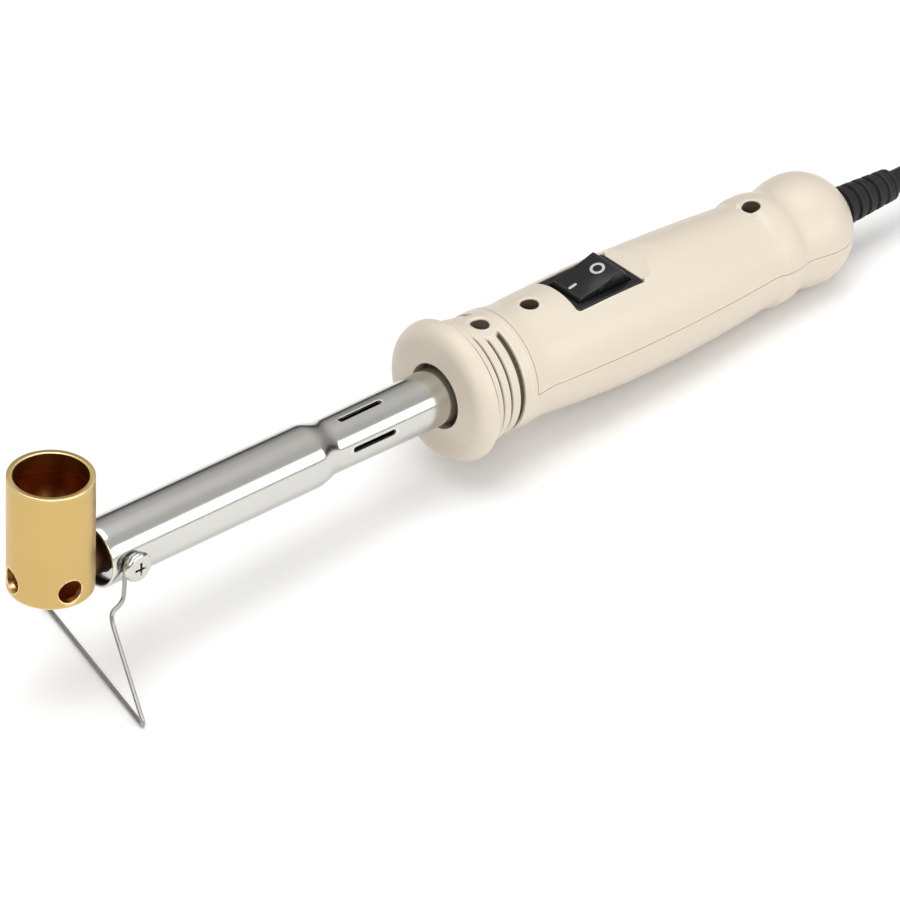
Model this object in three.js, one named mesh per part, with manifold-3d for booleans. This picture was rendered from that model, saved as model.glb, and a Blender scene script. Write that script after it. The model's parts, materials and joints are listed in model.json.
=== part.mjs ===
// Heated hand iron with a brass cup head. Millimetres, +Z up.
// The tool is laid out straight along X: the cup's axis crosses the barrel's axis at the layout's zero,
// +X runs back along the handle to the lead, +Z is the cup's open end. The whole tool is then tilted
// nose-up until it stands on its wire foot and on the round rear end of the handle.

import * as THREE from 'three';
import { mergeVertices } from 'three/addons/utils/BufferGeometryUtils.js';
import Module from 'manifold-3d';

const wasm = await Module();
wasm.setup();

// ---------- driving dimensions ----------
const GAP = 0.3; // clearance between pieces that touch
const BREAK_THROUGH = 1; // how far a cutting tool overshoots a face

// brass cup
const CUP_OUTER_R = 10.25;
const CUP_BORE_R = 8.75;
const CUP_HEIGHT = 30.5;
const CUP_FLOOR = 1.2;
const CUP_BELOW_AXIS = 2.6;
const CUP_CHAMFER = 0.4;
const VENT_R = 2.9;
const VENT_TURN = THREE.MathUtils.degToRad(-12);

// tip shank and its clamp
const SHANK_R = 4.5;
const SHANK_STUD_R = 1.3;
const SHANK_REAR = 34;
const CLAMP_RING_WIDTH = 7;
const CLAMP_RING_SETBACK = 2;

// steel barrel
const BARREL_FRONT = 12.1;
const BARREL_R = 8;
const BARREL_WALL = 0.8;
const TAPER_START = 75.7;
const TAPER_LENGTH = 6.7;
const BARREL_NECK_R = 6.73;
const BARREL_REAR_R = 7.1;
const SLOT_START = 85.7;
const SLOT_LENGTH = 13;
const SLOT_WIDTH = 1.3;
const SLOT_COUNT = 5;
const SLOT_ROLL = THREE.MathUtils.degToRad(10);

// tip screws and wire stand
const TIP_SCREW_BEHIND_MOUTH = 5.5;
const TIP_SCREW_R = 2;
const SCREW_HEAD_R = 3.75;
const SCREW_HEAD_HEIGHT = 1.5;
const WIRE_R = 0.55;
const FOOT_HALF_SPAN = 26;
const FOOT_DROP = 31.8;
const FOOT_X = 13;
const FOOT_SKEW = 6.1;
const WIRE_JOG = 4;
const WIRE_BEND = 2.6;

// heating element
const HEATER_START = 36;
const HEATER_LENGTH = 37;
const CORE_R = 3;
const CORE_BORE_R = 0.9;
const WINDING_THICKNESS = 0.9;
const WINDING_TURNS = 8;
const SLEEVE_WALL = 0.4;
const END_CAP_LENGTH = 3.6;
const END_CAP_R = 5.4;
const LEAD_WIRE_R = 0.7;

// handle
const FLANGE_FRONT = 116.6;
const FLANGE_R = 17.9;
const FLANGE_ROUND = 4.2;
const FLANGE_SHOULDER = 3.6;
const FLANGE_WIDTH = 4.9;
const FLANGE_BACK_ROUND = 0.5;
const FLANGE_WALL = 4.6;
const BARREL_AIR_GAP = 1.25;
const RINGS = [ // width and radius of each ring behind the flange, and the groove in front of it
  { groove: 0.9, depth: 1.0, width: 1.7, radius: 16.5 },
  { groove: 0.9, depth: 0.9, width: 2.3, radius: 15.6 },
  { groove: 0.9, depth: 0.9, width: 2.6, radius: 15.1 },
  { groove: 1.4, depth: 1.3, width: 3.9, radius: 15.1 },
];
const GRIP_FRONT_R = 14.5;
const GRIP_FRONT_AT = 5;
const GRIP_BELLY_R = 15.75;
const GRIP_BELLY_AT = 34;
const GRIP_TAIL_R = 13.6;
const GRIP_LENGTH = 81.2;
const BEAD_R = 14.3;
const BEAD_WIDTH = 7.6;
const WAIST_R = 13.3;
const WAIST_BEHIND_BEAD = 2.3;
const LOBE_R = 14.4;
const LOBE_BEHIND_WAIST = 8.1;
const LOBE_HALF_LENGTH = 13;
const END_SHORT_OF_TIP = 2.2;
const BOW_DEPTH = 1.5;
const SHELL_WALL = 2.5;
const BUSH_WALL = 3.4;
const BUSH_LENGTH = 12;
const SHELL_SEGMENTS = 24;

// fasteners of the handle
const HOLE_R = 2.2;
const PAD_R = 5.5;
const PAD_BEFORE_SEAM = 7.1;
const COLLAR_SCREW_BEFORE_SEAM = 5.9;
const FRONT_SCREW_BEHIND_SEAM = 9.9;
const REAR_SCREW_BEHIND_SEAM = 82.4;
const BOSS_R = 3.6;
const SHELL_SCREW_R = 1.2;
const SHELL_SCREW_SEAT = 3.7;
const SHELL_SCREW_HEAD = 1.9;
const SHELL_SCREW_DEPTH = 6;

// rocker switch
const SWITCH_FRONT_BEHIND_SEAM = 19.1;
const BEZEL_LENGTH = 21;
const BEZEL_WIDTH = 15;
const BEZEL_TOP = 12.3;
const BEZEL_THICKNESS = 1.7;
const HOUSING_LENGTH = 19;
const HOUSING_WIDTH = 12.5;
const HOUSING_DEPTH = 13.6;
const HOUSING_WALL = 0.85;
const ROCKER_SIDE_PLAY = 0.35;
const ROCKER_R = 8.4;
const ROCKER_TOP = 5.2;
const ROCKER_PIVOT_BELOW_BEZEL = 2.7;
const ROCKER_THROW = THREE.MathUtils.degToRad(28);
const ROCKER_PIN_R = 0.9;
const TAB_WIDTH = 4.8;
const TAB_THICKNESS = 0.8;
const TAB_SPREAD = 5;
const TAB_BELOW_HOUSING = 6.5;

// wiring, cord clamp and strain relief
const CONDUCTOR_R = 0.9;
const BLOCK_LENGTH = 12;
const BLOCK_WIDTH = 8;
const BLOCK_HEIGHT = 8;
const BLOCK_BEHIND_SEAM = 48;
const BLOCK_Y = 4.4;
const BLOCK_Z = -6;
const BLOCK_SCREW_R = 1.5;
const CORD_R = 3;
const CLAMP_BEHIND_SEAM = 95.9;
const CLAMP_BAR_WIDTH = 6;
const CLAMP_BAR_HEIGHT = 2;
const CLAMP_SCREW_Y = 5.9;
const CLAMP_SCREW_R = 1.1;
const CLAMP_POST_R = 1.9;
const BOOT_FLANGE_R = 7;
const BOOT_FLANGE_WIDTH = 2.5;
const BOOT_NECK_R = 4.3;
const BOOT_FRONT_R = 5.25;
const BOOT_TAIL_R = 4.1;
const BOOT_LENGTH = 20;
const BOOT_RIBS = 6;
const BOOT_RIB_DEPTH = 0.7;
const REAR_WALL = 4.7;

// mains lead, laid on the bench behind the tool
const CORD_PITCH = 2 * CORD_R;
const HANK_START = [70, -8]; // middle of the hank's near bend, from the exit
const HANK_RUN = 82;
const COIL_INNER_TURN = 18;
const COIL_OUTER_TURN = 30;
const COIL_LIFT = 0.8;
const TIE_WIDTH = 8;
const TIE_THICKNESS = 0.5;
const PLUG_LENGTH = 38;
const PLUG_WIDTH = 34;
const PLUG_TAIL_WIDTH = 14;
const PLUG_THICKNESS = 13;
const PLUG_PIN_R = 2;
const PLUG_PIN_LENGTH = 19;
const PLUG_PIN_SPREAD = 9.3;

// ---------- places worked out from the sizes ----------
const TIP_SCREW_X = BARREL_FRONT + TIP_SCREW_BEHIND_MOUTH;
const BARREL_BORE_R = BARREL_R - BARREL_WALL;
const TAPER_END = TAPER_START + TAPER_LENGTH;
const NECK_START = FLANGE_FRONT + FLANGE_WIDTH;
const COLLAR_R = RINGS[RINGS.length - 1].radius;
const SEAM_X = RINGS.reduce((x, ring) => x + ring.groove + ring.width, NECK_START);
const RINGS_REAR_FACE = SEAM_X - RINGS[RINGS.length - 1].width;
const FLANGE_BORE_R = BARREL_REAR_R + BARREL_AIR_GAP;
const BUSH_FRONT = FLANGE_FRONT + FLANGE_WALL + GAP;
const BUSH_REAR = BUSH_FRONT + BUSH_LENGTH;
const BUSH_R = BARREL_REAR_R + GAP + BUSH_WALL;
const BARREL_REAR = BUSH_REAR - 1;
const BEAD_START = SEAM_X + GRIP_LENGTH;
const WAIST_X = BEAD_START + BEAD_WIDTH + WAIST_BEHIND_BEAD;
const LOBE_X = WAIST_X + LOBE_BEHIND_WAIST;
const HANDLE_END = LOBE_X + LOBE_HALF_LENGTH - END_SHORT_OF_TIP;
const COLLAR_SCREW_X = SEAM_X - COLLAR_SCREW_BEFORE_SEAM;
const FRONT_SCREW_X = SEAM_X + FRONT_SCREW_BEHIND_SEAM;
const REAR_SCREW_X = SEAM_X + REAR_SCREW_BEHIND_SEAM;
const SWITCH_X = SEAM_X + SWITCH_FRONT_BEHIND_SEAM + BEZEL_LENGTH / 2;
const BEZEL_SEAT = BEZEL_TOP - BEZEL_THICKNESS - GAP;
const HOUSING_BOTTOM = BEZEL_SEAT + GAP - HOUSING_DEPTH;
const PIVOT_Z = BEZEL_TOP - ROCKER_PIVOT_BELOW_BEZEL;
const WINDING_R = CORE_R + GAP + WINDING_THICKNESS;
const SLEEVE_R = BARREL_BORE_R - 2 * GAP;
const CLAMP_X = SEAM_X + CLAMP_BEHIND_SEAM;
const BLOCK_X = SEAM_X + BLOCK_BEHIND_SEAM + BLOCK_LENGTH / 2;
const BOOT_START = HANDLE_END + GAP;
const BOOT_END = BOOT_START + BOOT_LENGTH;
const INNER_CORD_START = REAR_SCREW_X + BOSS_R + 3;
const EYE_INNER_Y = BARREL_R + GAP;
const EYE_WIRE_Y = EYE_INNER_Y + WIRE_R;
const HEAD_BASE_Y = EYE_INNER_Y + 2 * WIRE_R + GAP;
const EYE_HOLE_R = TIP_SCREW_R + GAP;

// ---------- helpers ----------
const smooth = (t) => t * t * (3 - 2 * t);

/** Closed solid for cutting and joining, from any closed three.js geometry. */
function solidOf(geometry) {
  const bare = geometry.clone();
  bare.deleteAttribute('normal');
  bare.deleteAttribute('uv');
  const merged = mergeVertices(bare, 1e-4);
  const corners = merged.index.array;
  const triangles = [];
  for (let i = 0; i < corners.length; i += 3) {
    const [a, b, c] = [corners[i], corners[i + 1], corners[i + 2]];
    if (a !== b && b !== c && c !== a) triangles.push(a, b, c);
  }
  return new wasm.Manifold(new wasm.Mesh({
    numProp: 3,
    vertProperties: new Float32Array(merged.attributes.position.array),
    triVerts: new Uint32Array(triangles),
  }));
}

/** three.js geometry of a finished solid. */
function geometryOf(solid) {
  const mesh = solid.getMesh();
  const geometry = new THREE.BufferGeometry();
  geometry.setAttribute('position', new THREE.BufferAttribute(mesh.vertProperties.slice(), 3));
  geometry.setIndex(new THREE.BufferAttribute(mesh.triVerts.slice(), 1));
  geometry.computeVertexNormals();
  return geometry;
}

const cut = (solid, ...tools) => tools.reduce((left, tool) => left.subtract(tool), solid);
const joined = (solid, ...others) => others.reduce((whole, other) => whole.add(other), solid);

/** Geometry turned about X. The profile is [x, radius] pairs, running back along the outside. */
function turned(profile, segments = 32) {
  const points = profile.map(([x, radius]) => new THREE.Vector2(radius, x));
  return new THREE.LatheGeometry(points, segments).rotateZ(-Math.PI / 2);
}

/** Closed tube profile between two x positions. */
const tubeProfile = (start, end, outer, inner) =>
  [[start, inner], [start, outer], [end, outer], [end, inner], [start, inner]];

/** Round bar between two points. */
function rod(radius, from, to, sides = 16) {
  const [a, b] = [new THREE.Vector3(...from), new THREE.Vector3(...to)];
  const along = b.clone().sub(a);
  const turn = new THREE.Quaternion().setFromUnitVectors(
    new THREE.Vector3(0, 1, 0), along.clone().normalize());
  const middle = a.add(b).multiplyScalar(0.5);
  return new THREE.CylinderGeometry(radius, radius, along.length(), sides)
    .applyQuaternion(turn).translate(middle.x, middle.y, middle.z);
}

/** Box given by its lowest and highest corners. */
function block(low, high) {
  const size = high.map((value, i) => value - low[i]);
  const middle = high.map((value, i) => (value + low[i]) / 2);
  return new THREE.BoxGeometry(...size).translate(...middle);
}

const cutRod = (...args) => solidOf(rod(...args));
const cutBlock = (...args) => solidOf(block(...args));

/** Tube of round section along a path. */
function tubeAlong(path, radius, sides, steps) {
  const section = new THREE.Shape();
  for (let i = 0; i < sides; i++) {
    const angle = (2 * Math.PI * i) / sides;
    const [x, y] = [radius * Math.cos(angle), radius * Math.sin(angle)];
    if (i === 0) section.moveTo(x, y);
    else section.lineTo(x, y);
  }
  section.closePath();
  return new THREE.ExtrudeGeometry(section, { steps, extrudePath: path, bevelEnabled: false });
}

/** Smooth curve through a list of points. */
const curveThrough = (points) =>
  new THREE.CatmullRomCurve3(points.map((p) => new THREE.Vector3(...p)), false, 'centripetal');

/** Straight runs joined by round bends of one size. */
function bentPath(points, bend) {
  const corners = points.map((p) => new THREE.Vector3(...p));
  const path = new THREE.CurvePath();
  let from = corners[0];
  for (let i = 1; i < corners.length - 1; i++) {
    const corner = corners[i];
    const reach = (other) => Math.min(bend, corner.distanceTo(other) / 2);
    const toward = (other) => corner.clone().lerp(other, reach(other) / corner.distanceTo(other));
    const [enter, leave] = [toward(corners[i - 1]), toward(corners[i + 1])];
    path.add(new THREE.LineCurve3(from, enter));
    path.add(new THREE.QuadraticBezierCurve3(enter, corner, leave));
    from = leave;
  }
  path.add(new THREE.LineCurve3(from, corners[corners.length - 1]));
  return path;
}

const tool = new THREE.Group();
const lead = new THREE.Group();

/** Adds one named piece to a group, in its own finish. */
function piece(group, name, shape, [color, roughness, metalness]) {
  const geometry = shape.isBufferGeometry ? shape : geometryOf(shape);
  const material = new THREE.MeshStandardMaterial({ color, roughness, metalness });
  const mesh = new THREE.Mesh(geometry, material);
  mesh.name = name;
  group.add(mesh);
}

// ---------- finishes ----------
const BRASS = [0xd9b45a, 0.3, 1];
const DARK_BRASS = [0x6b3a22, 0.5, 1];
const STAINLESS = [0xc9c9c6, 0.15, 1];
const NICKEL = [0xbdbcb6, 0.25, 1];
const ZINC = [0xa9a9a5, 0.35, 1];
const CREAM = [0xe6dccb, 0.45, 0];
const BLACK_PLASTIC = [0x161616, 0.4, 0];
const BLACK_RUBBER = [0x141414, 0.65, 0];
const CERAMIC = [0xe9e4d8, 0.8, 0];
const MICA = [0xb59a6a, 0.5, 0];
const COPPER = [0xb8693a, 0.35, 1];
const FIBRE = [0x8a5a3a, 0.85, 0];
const BROWN_WIRE = [0x6a3a1c, 0.5, 0];
const BLUE_WIRE = [0x2a4f9c, 0.5, 0];

// ---------- brass cup and tip ----------
const cupBottom = -CUP_BELOW_AXIS;
const cupTop = cupBottom + CUP_HEIGHT;
const ventZ = cupBottom + CUP_FLOOR + VENT_R + 0.2;

/** Cup turned about its own upright axis, with three vents and the shank's stud hole. */
function cupHead() {
  const profile = [
    [cupBottom, 0], [cupBottom, CUP_OUTER_R - CUP_CHAMFER], [cupBottom + CUP_CHAMFER, CUP_OUTER_R],
    [cupTop - CUP_CHAMFER / 2, CUP_OUTER_R], [cupTop, CUP_OUTER_R - CUP_CHAMFER / 2],
    [cupTop, CUP_BORE_R], [cupBottom + CUP_FLOOR, CUP_BORE_R], [cupBottom + CUP_FLOOR, 0],
  ];
  const wall = solidOf(turned(profile, 36).rotateY(-Math.PI / 2));
  const vents = [1, 2, 3].map((quarter) => {
    const angle = VENT_TURN + quarter * Math.PI / 2;
    const [x, y] = [Math.cos(angle), Math.sin(angle)].map((way) => way * (CUP_OUTER_R + BREAK_THROUGH));
    return cutRod(VENT_R, [x * 0.6, y * 0.6, ventZ], [x, y, ventZ], 16);
  });
  const studHole = cutRod(SHANK_STUD_R + GAP, [CUP_BORE_R - 0.8, 0, 0],
    [CUP_OUTER_R + BREAK_THROUGH, 0, 0]);
  return cut(wall, ...vents, studHole);
}

/** Shank with a saddle that fits the cup and a stud through the cup's wall. */
function tipShank() {
  const bar = cutRod(SHANK_R, [CUP_OUTER_R - 2, 0, 0], [SHANK_REAR, 0, 0], 24);
  const saddle = cutRod(CUP_OUTER_R + GAP, [0, 0, -2 * SHANK_R], [0, 0, 2 * SHANK_R], 36);
  const stud = cutRod(SHANK_STUD_R, [CUP_BORE_R + 0.1, 0, 0], [CUP_OUTER_R + 2, 0, 0], 12);
  return joined(cut(bar, saddle), stud);
}

piece(tool, 'cup_head', cupHead(), BRASS);
piece(tool, 'tip_shank', tipShank(), DARK_BRASS);

const ringFront = BARREL_FRONT + CLAMP_RING_SETBACK;
const ringTube = solidOf(turned(
  tubeProfile(ringFront, ringFront + CLAMP_RING_WIDTH, BARREL_BORE_R - GAP, SHANK_R + GAP), 20));
const screwBore = cutRod(TIP_SCREW_R + GAP, [TIP_SCREW_X, -2 * BARREL_R, 0], [TIP_SCREW_X, 2 * BARREL_R, 0]);
piece(tool, 'tip_clamp_ring', cut(ringTube, screwBore), NICKEL);

// ---------- barrel ----------
/** Thin tube, drawn down behind the heater, with vent slots round its neck. */
function barrel() {
  const outside = [
    [BARREL_FRONT, BARREL_R], [TAPER_START, BARREL_R],
    [TAPER_START + TAPER_LENGTH / 4, BARREL_R - (BARREL_R - BARREL_NECK_R) * smooth(0.25)],
    [TAPER_START + TAPER_LENGTH * 0.75, BARREL_R - (BARREL_R - BARREL_NECK_R) * smooth(0.75)],
    [TAPER_END, BARREL_NECK_R], [BARREL_REAR, BARREL_REAR_R],
  ];
  const inside = outside.map(([x, radius]) => [x, radius - BARREL_WALL]).reverse();
  const tube = solidOf(turned([...outside, ...inside, outside[0]], 32));
  const slots = Array.from({ length: SLOT_COUNT }, (_, i) => {
    const slot = block([SLOT_START, -BARREL_R - BREAK_THROUGH, -SLOT_WIDTH / 2],
      [SLOT_START + SLOT_LENGTH, -BARREL_NECK_R / 2, SLOT_WIDTH / 2]);
    return solidOf(slot.rotateX(-SLOT_ROLL - (2 * Math.PI * i) / SLOT_COUNT));
  });
  const grubSeat = cutRod(0.8, [COLLAR_SCREW_X, 0, 0], [COLLAR_SCREW_X, 0, BARREL_R + BREAK_THROUGH], 12);
  return cut(tube, screwBore, ...slots, grubSeat);
}

piece(tool, 'barrel', barrel(), STAINLESS);

// ---------- tip screws ----------
/** Pan-head screw along Y, with a cross recess; side is -1 on the near side and 1 on the far side. */
function tipScrew(side) {
  const headTop = HEAD_BASE_Y + SCREW_HEAD_HEIGHT;
  const profile = [
    [SHANK_R + GAP, 0], [SHANK_R + GAP, TIP_SCREW_R], [HEAD_BASE_Y, TIP_SCREW_R],
    [HEAD_BASE_Y, SCREW_HEAD_R], [headTop - SCREW_HEAD_HEIGHT / 2, SCREW_HEAD_R],
    [headTop - SCREW_HEAD_HEIGHT / 5, SCREW_HEAD_R * 0.8], [headTop, SCREW_HEAD_R * 0.45], [headTop, 0],
  ];
  const recess = [[2, 0.4], [0.4, 2]].map(([halfX, halfZ]) =>
    solidOf(block([headTop - 1, -halfX, -halfZ], [headTop + BREAK_THROUGH, halfX, halfZ])));
  const screw = geometryOf(cut(solidOf(turned(profile, 20)), ...recess));
  return screw.rotateZ((side * Math.PI) / 2).translate(TIP_SCREW_X, 0, 0);
}

piece(tool, 'tip_screw_near', tipScrew(-1), NICKEL);
piece(tool, 'tip_screw_far', tipScrew(1), NICKEL);

// ---------- heating element ----------
const heaterEnd = HEATER_START + HEATER_LENGTH;
piece(tool, 'heater_core', turned(tubeProfile(HEATER_START, heaterEnd, CORE_R, CORE_BORE_R), 16), CERAMIC);

/** Wound resistance wire, drawn as a sleeve with one ridge for each group of turns. */
function heaterWinding() {
  const start = HEATER_START + 1;
  const pitch = (HEATER_LENGTH - 2) / WINDING_TURNS;
  const inner = CORE_R + GAP;
  const profile = [[start, inner]];
  for (let turn = 0; turn < WINDING_TURNS; turn++) {
    profile.push([start + pitch * turn, WINDING_R - WINDING_THICKNESS / 2]);
    profile.push([start + pitch * (turn + 0.5), WINDING_R]);
  }
  const end = start + pitch * WINDING_TURNS;
  profile.push([end, WINDING_R - WINDING_THICKNESS / 2], [end, inner], [start, inner]);
  return turned(profile, 12);
}

piece(tool, 'heater_winding', heaterWinding(), COPPER);
piece(tool, 'mica_sleeve',
  turned(tubeProfile(HEATER_START - 1, heaterEnd + 1, SLEEVE_R, SLEEVE_R - SLEEVE_WALL), 20), MICA);

const leadHoleY = (CORE_R + CORE_BORE_R) / 2;
const capFront = heaterEnd + 1 + GAP;
const capHoles = [-1, 1].map((side) => cutRod(LEAD_WIRE_R + GAP,
  [capFront - 1, side * leadHoleY, 0], [capFront + END_CAP_LENGTH + 1, side * leadHoleY, 0], 12));
const capDisc = cutRod(END_CAP_R, [capFront, 0, 0], [capFront + END_CAP_LENGTH, 0, 0], 24);
piece(tool, 'heater_end_cap', cut(capDisc, ...capHoles), CERAMIC);

const bushTube = solidOf(turned(tubeProfile(BUSH_FRONT, BUSH_REAR, BUSH_R, BARREL_REAR_R + GAP), 20));
const grubHole = cutRod(HOLE_R, [COLLAR_SCREW_X, 0, 1], [COLLAR_SCREW_X, 0, 2 * FLANGE_R]);
piece(tool, 'heat_bush', cut(bushTube, grubHole), FIBRE);

// ---------- handle ----------
/** How far the grip's centreline hangs below the barrel's axis. */
function bowAt(x) {
  const share = (x - RINGS_REAR_FACE) / (HANDLE_END + 12 - RINGS_REAR_FACE);
  return share > 0 ? BOW_DEPTH * Math.sin(Math.PI * share) : 0;
}

/** Bends a turned shape along the grip's bow. */
function bowed(geometry) {
  const places = geometry.attributes.position;
  for (let i = 0; i < places.count; i++) places.setZ(i, places.getZ(i) - bowAt(places.getX(i)));
  return geometry;
}

/** Radius of the grip behind the seam: belly, bead, waist and round rear end. */
function gripRadius(x) {
  const bellyX = SEAM_X + GRIP_BELLY_AT;
  const frontX = SEAM_X + GRIP_FRONT_AT;
  if (x < frontX) {
    const share = Math.max(0, (x - SEAM_X) / GRIP_FRONT_AT);
    return COLLAR_R - (COLLAR_R - GRIP_FRONT_R) * smooth(share);
  }
  if (x < bellyX) {
    const share = (x - frontX) / (bellyX - frontX);
    return GRIP_FRONT_R + (GRIP_BELLY_R - GRIP_FRONT_R) * Math.sin((share * Math.PI) / 2);
  }
  if (x < BEAD_START) {
    const share = (x - bellyX) / (BEAD_START - bellyX);
    return GRIP_BELLY_R - (GRIP_BELLY_R - GRIP_TAIL_R) * share ** 2.2;
  }
  if (x < BEAD_START + BEAD_WIDTH) return BEAD_R;
  if (x < WAIST_X) {
    const share = (x - BEAD_START - BEAD_WIDTH) / WAIST_BEHIND_BEAD;
    return BEAD_R - (BEAD_R - WAIST_R) * smooth(share);
  }
  if (x < LOBE_X) return WAIST_R + (LOBE_R - WAIST_R) * smooth((x - WAIST_X) / LOBE_BEHIND_WAIST);
  return LOBE_R * Math.sqrt(1 - ((x - LOBE_X) / LOBE_HALF_LENGTH) ** 2);
}

/** Outline of the whole handle from flange to rear end. */
function handleOutline() {
  const outline = [[FLANGE_FRONT, 0], [FLANGE_FRONT, FLANGE_R - FLANGE_SHOULDER]];
  for (let step = 1; step <= 4; step++) {
    const angle = (step / 4) * Math.PI / 2;
    outline.push([FLANGE_FRONT + FLANGE_ROUND * (1 - Math.cos(angle)),
      FLANGE_R - FLANGE_SHOULDER * (1 - Math.sin(angle))]);
  }
  let x = NECK_START;
  let before = FLANGE_R;
  outline.push([x, before - FLANGE_BACK_ROUND]);
  for (const { groove, depth, width, radius } of RINGS) {
    const floor = Math.min(before, radius) - depth;
    outline.push([x + 0.1, floor], [x + groove - 0.1, floor], [x + groove, radius]);
    x += groove + width;
    before = radius;
    if (x < SEAM_X - 1e-6) outline.push([x, radius]);
  }
  const gripSteps = [0.1, 2.5, GRIP_FRONT_AT, 12, 22, GRIP_BELLY_AT, 46, 56, 65, 73, GRIP_LENGTH - 0.8];
  const rearSteps = [0.2, BEAD_WIDTH - 0.1, BEAD_WIDTH + 1, BEAD_WIDTH + WAIST_BEHIND_BEAD,
    BEAD_WIDTH + WAIST_BEHIND_BEAD + LOBE_BEHIND_WAIST / 2];
  for (const step of gripSteps) outline.push([SEAM_X + step, gripRadius(SEAM_X + step)]);
  for (const step of rearSteps) outline.push([BEAD_START + step, gripRadius(BEAD_START + step)]);
  for (const share of [0, 0.25, 0.45, 0.62, 0.76, 0.88, 1]) {
    const at = LOBE_X + share * (HANDLE_END - LOBE_X);
    outline.push([at, gripRadius(at)]);
  }
  outline.push([HANDLE_END, 0]);
  return outline;
}

/** Hollow inside the grip, one wall thickness inside the outline. */
function gripCavity() {
  const front = BUSH_REAR + GAP;
  const rear = HANDLE_END - REAR_WALL;
  const stops = [SEAM_X, SEAM_X + GRIP_FRONT_AT, SEAM_X + 20, SEAM_X + GRIP_BELLY_AT, SEAM_X + 60, BEAD_START - 1,
    BEAD_START + BEAD_WIDTH - 1, WAIST_X, LOBE_X, rear];
  const profile = stops.map((x) => [x, gripRadius(x) - SHELL_WALL]);
  return solidOf(bowed(turned(
    [[front, 0], [front, COLLAR_R - SHELL_WALL], ...profile, [rear, 0]], SHELL_SEGMENTS)));
}

const handleOutside = solidOf(bowed(turned(handleOutline(), SHELL_SEGMENTS)));
const far = 2 * FLANGE_R;
const lowerRegion = joined(
  cutBlock([FLANGE_FRONT - 1, -far, -far], [SEAM_X - GAP / 2, far, far]),
  cutBlock([SEAM_X - 1, -far, -far], [HANDLE_END + 1, far, -GAP / 2]));
const upperRegion = cutBlock([SEAM_X + GAP / 2, -far, GAP / 2], [HANDLE_END + 1, far, far]);
const cavity = gripCavity();
const bootHole = cutRod(BOOT_NECK_R + GAP, [HANDLE_END - REAR_WALL - 2, 0, 0], [HANDLE_END + 1, 0, 0], 24);

/** Lower half with flange and neck, with the posts that its screws and blocks stand on. */
function handleBody() {
  const padX = SEAM_X - PAD_BEFORE_SEAM;
  const plainNeck = solidOf(turned([[padX - PAD_R - 1, 0], [padX - PAD_R - 1, RINGS[0].radius - 0.6],
    [padX, RINGS[2].radius + 0.2], [padX + PAD_R + 1, COLLAR_R], [padX + PAD_R + 1, 0]], SHELL_SEGMENTS));
  const pad = cutRod(PAD_R, [padX, 0, BUSH_R + 1], [padX, 0, FLANGE_R], 24).intersect(plainNeck);
  const flangeBore = cutRod(FLANGE_BORE_R, [FLANGE_FRONT - 1, 0, 0], [BUSH_FRONT, 0, 0], 32);
  const bushSeat = cutRod(BUSH_R + GAP, [BUSH_FRONT - GAP, 0, 0], [BUSH_REAR + 1, 0, 0], 32);
  const shell = cut(joined(handleOutside, pad), cavity, flangeBore, bushSeat, bootHole, grubHole)
    .intersect(lowerRegion);
  const bosses = [FRONT_SCREW_X, REAR_SCREW_X].map((x) =>
    cutRod(BOSS_R, [x, 0, -far], [x, 0, -GAP / 2], 20));
  const clampPosts = [-1, 1].map((side) =>
    cutRod(CLAMP_POST_R, [CLAMP_X, side * CLAMP_SCREW_Y, -far],
      [CLAMP_X, side * CLAMP_SCREW_Y, -GAP / 2], 16));
  const blockRib = cutBlock([BLOCK_X - 3, BLOCK_Y - 3, -far],
    [BLOCK_X + 3, BLOCK_Y + 3, BLOCK_Z - BLOCK_HEIGHT / 2 - GAP]);
  const inside = joined(bosses[0], bosses[1], ...clampPosts, blockRib).intersect(handleOutside);
  const pilots = [FRONT_SCREW_X, REAR_SCREW_X].map((x) =>
    cutRod(SHELL_SCREW_R + GAP, [x, 0, -SHELL_SCREW_DEPTH - GAP], [x, 0, 1], 12));
  const clampPilots = [-1, 1].map((side) => cutRod(CLAMP_SCREW_R + GAP,
    [CLAMP_X, side * CLAMP_SCREW_Y, -SHELL_SCREW_DEPTH], [CLAMP_X, side * CLAMP_SCREW_Y, 1], 12));
  return cut(joined(shell, inside), ...pilots, ...clampPilots);
}

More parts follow.
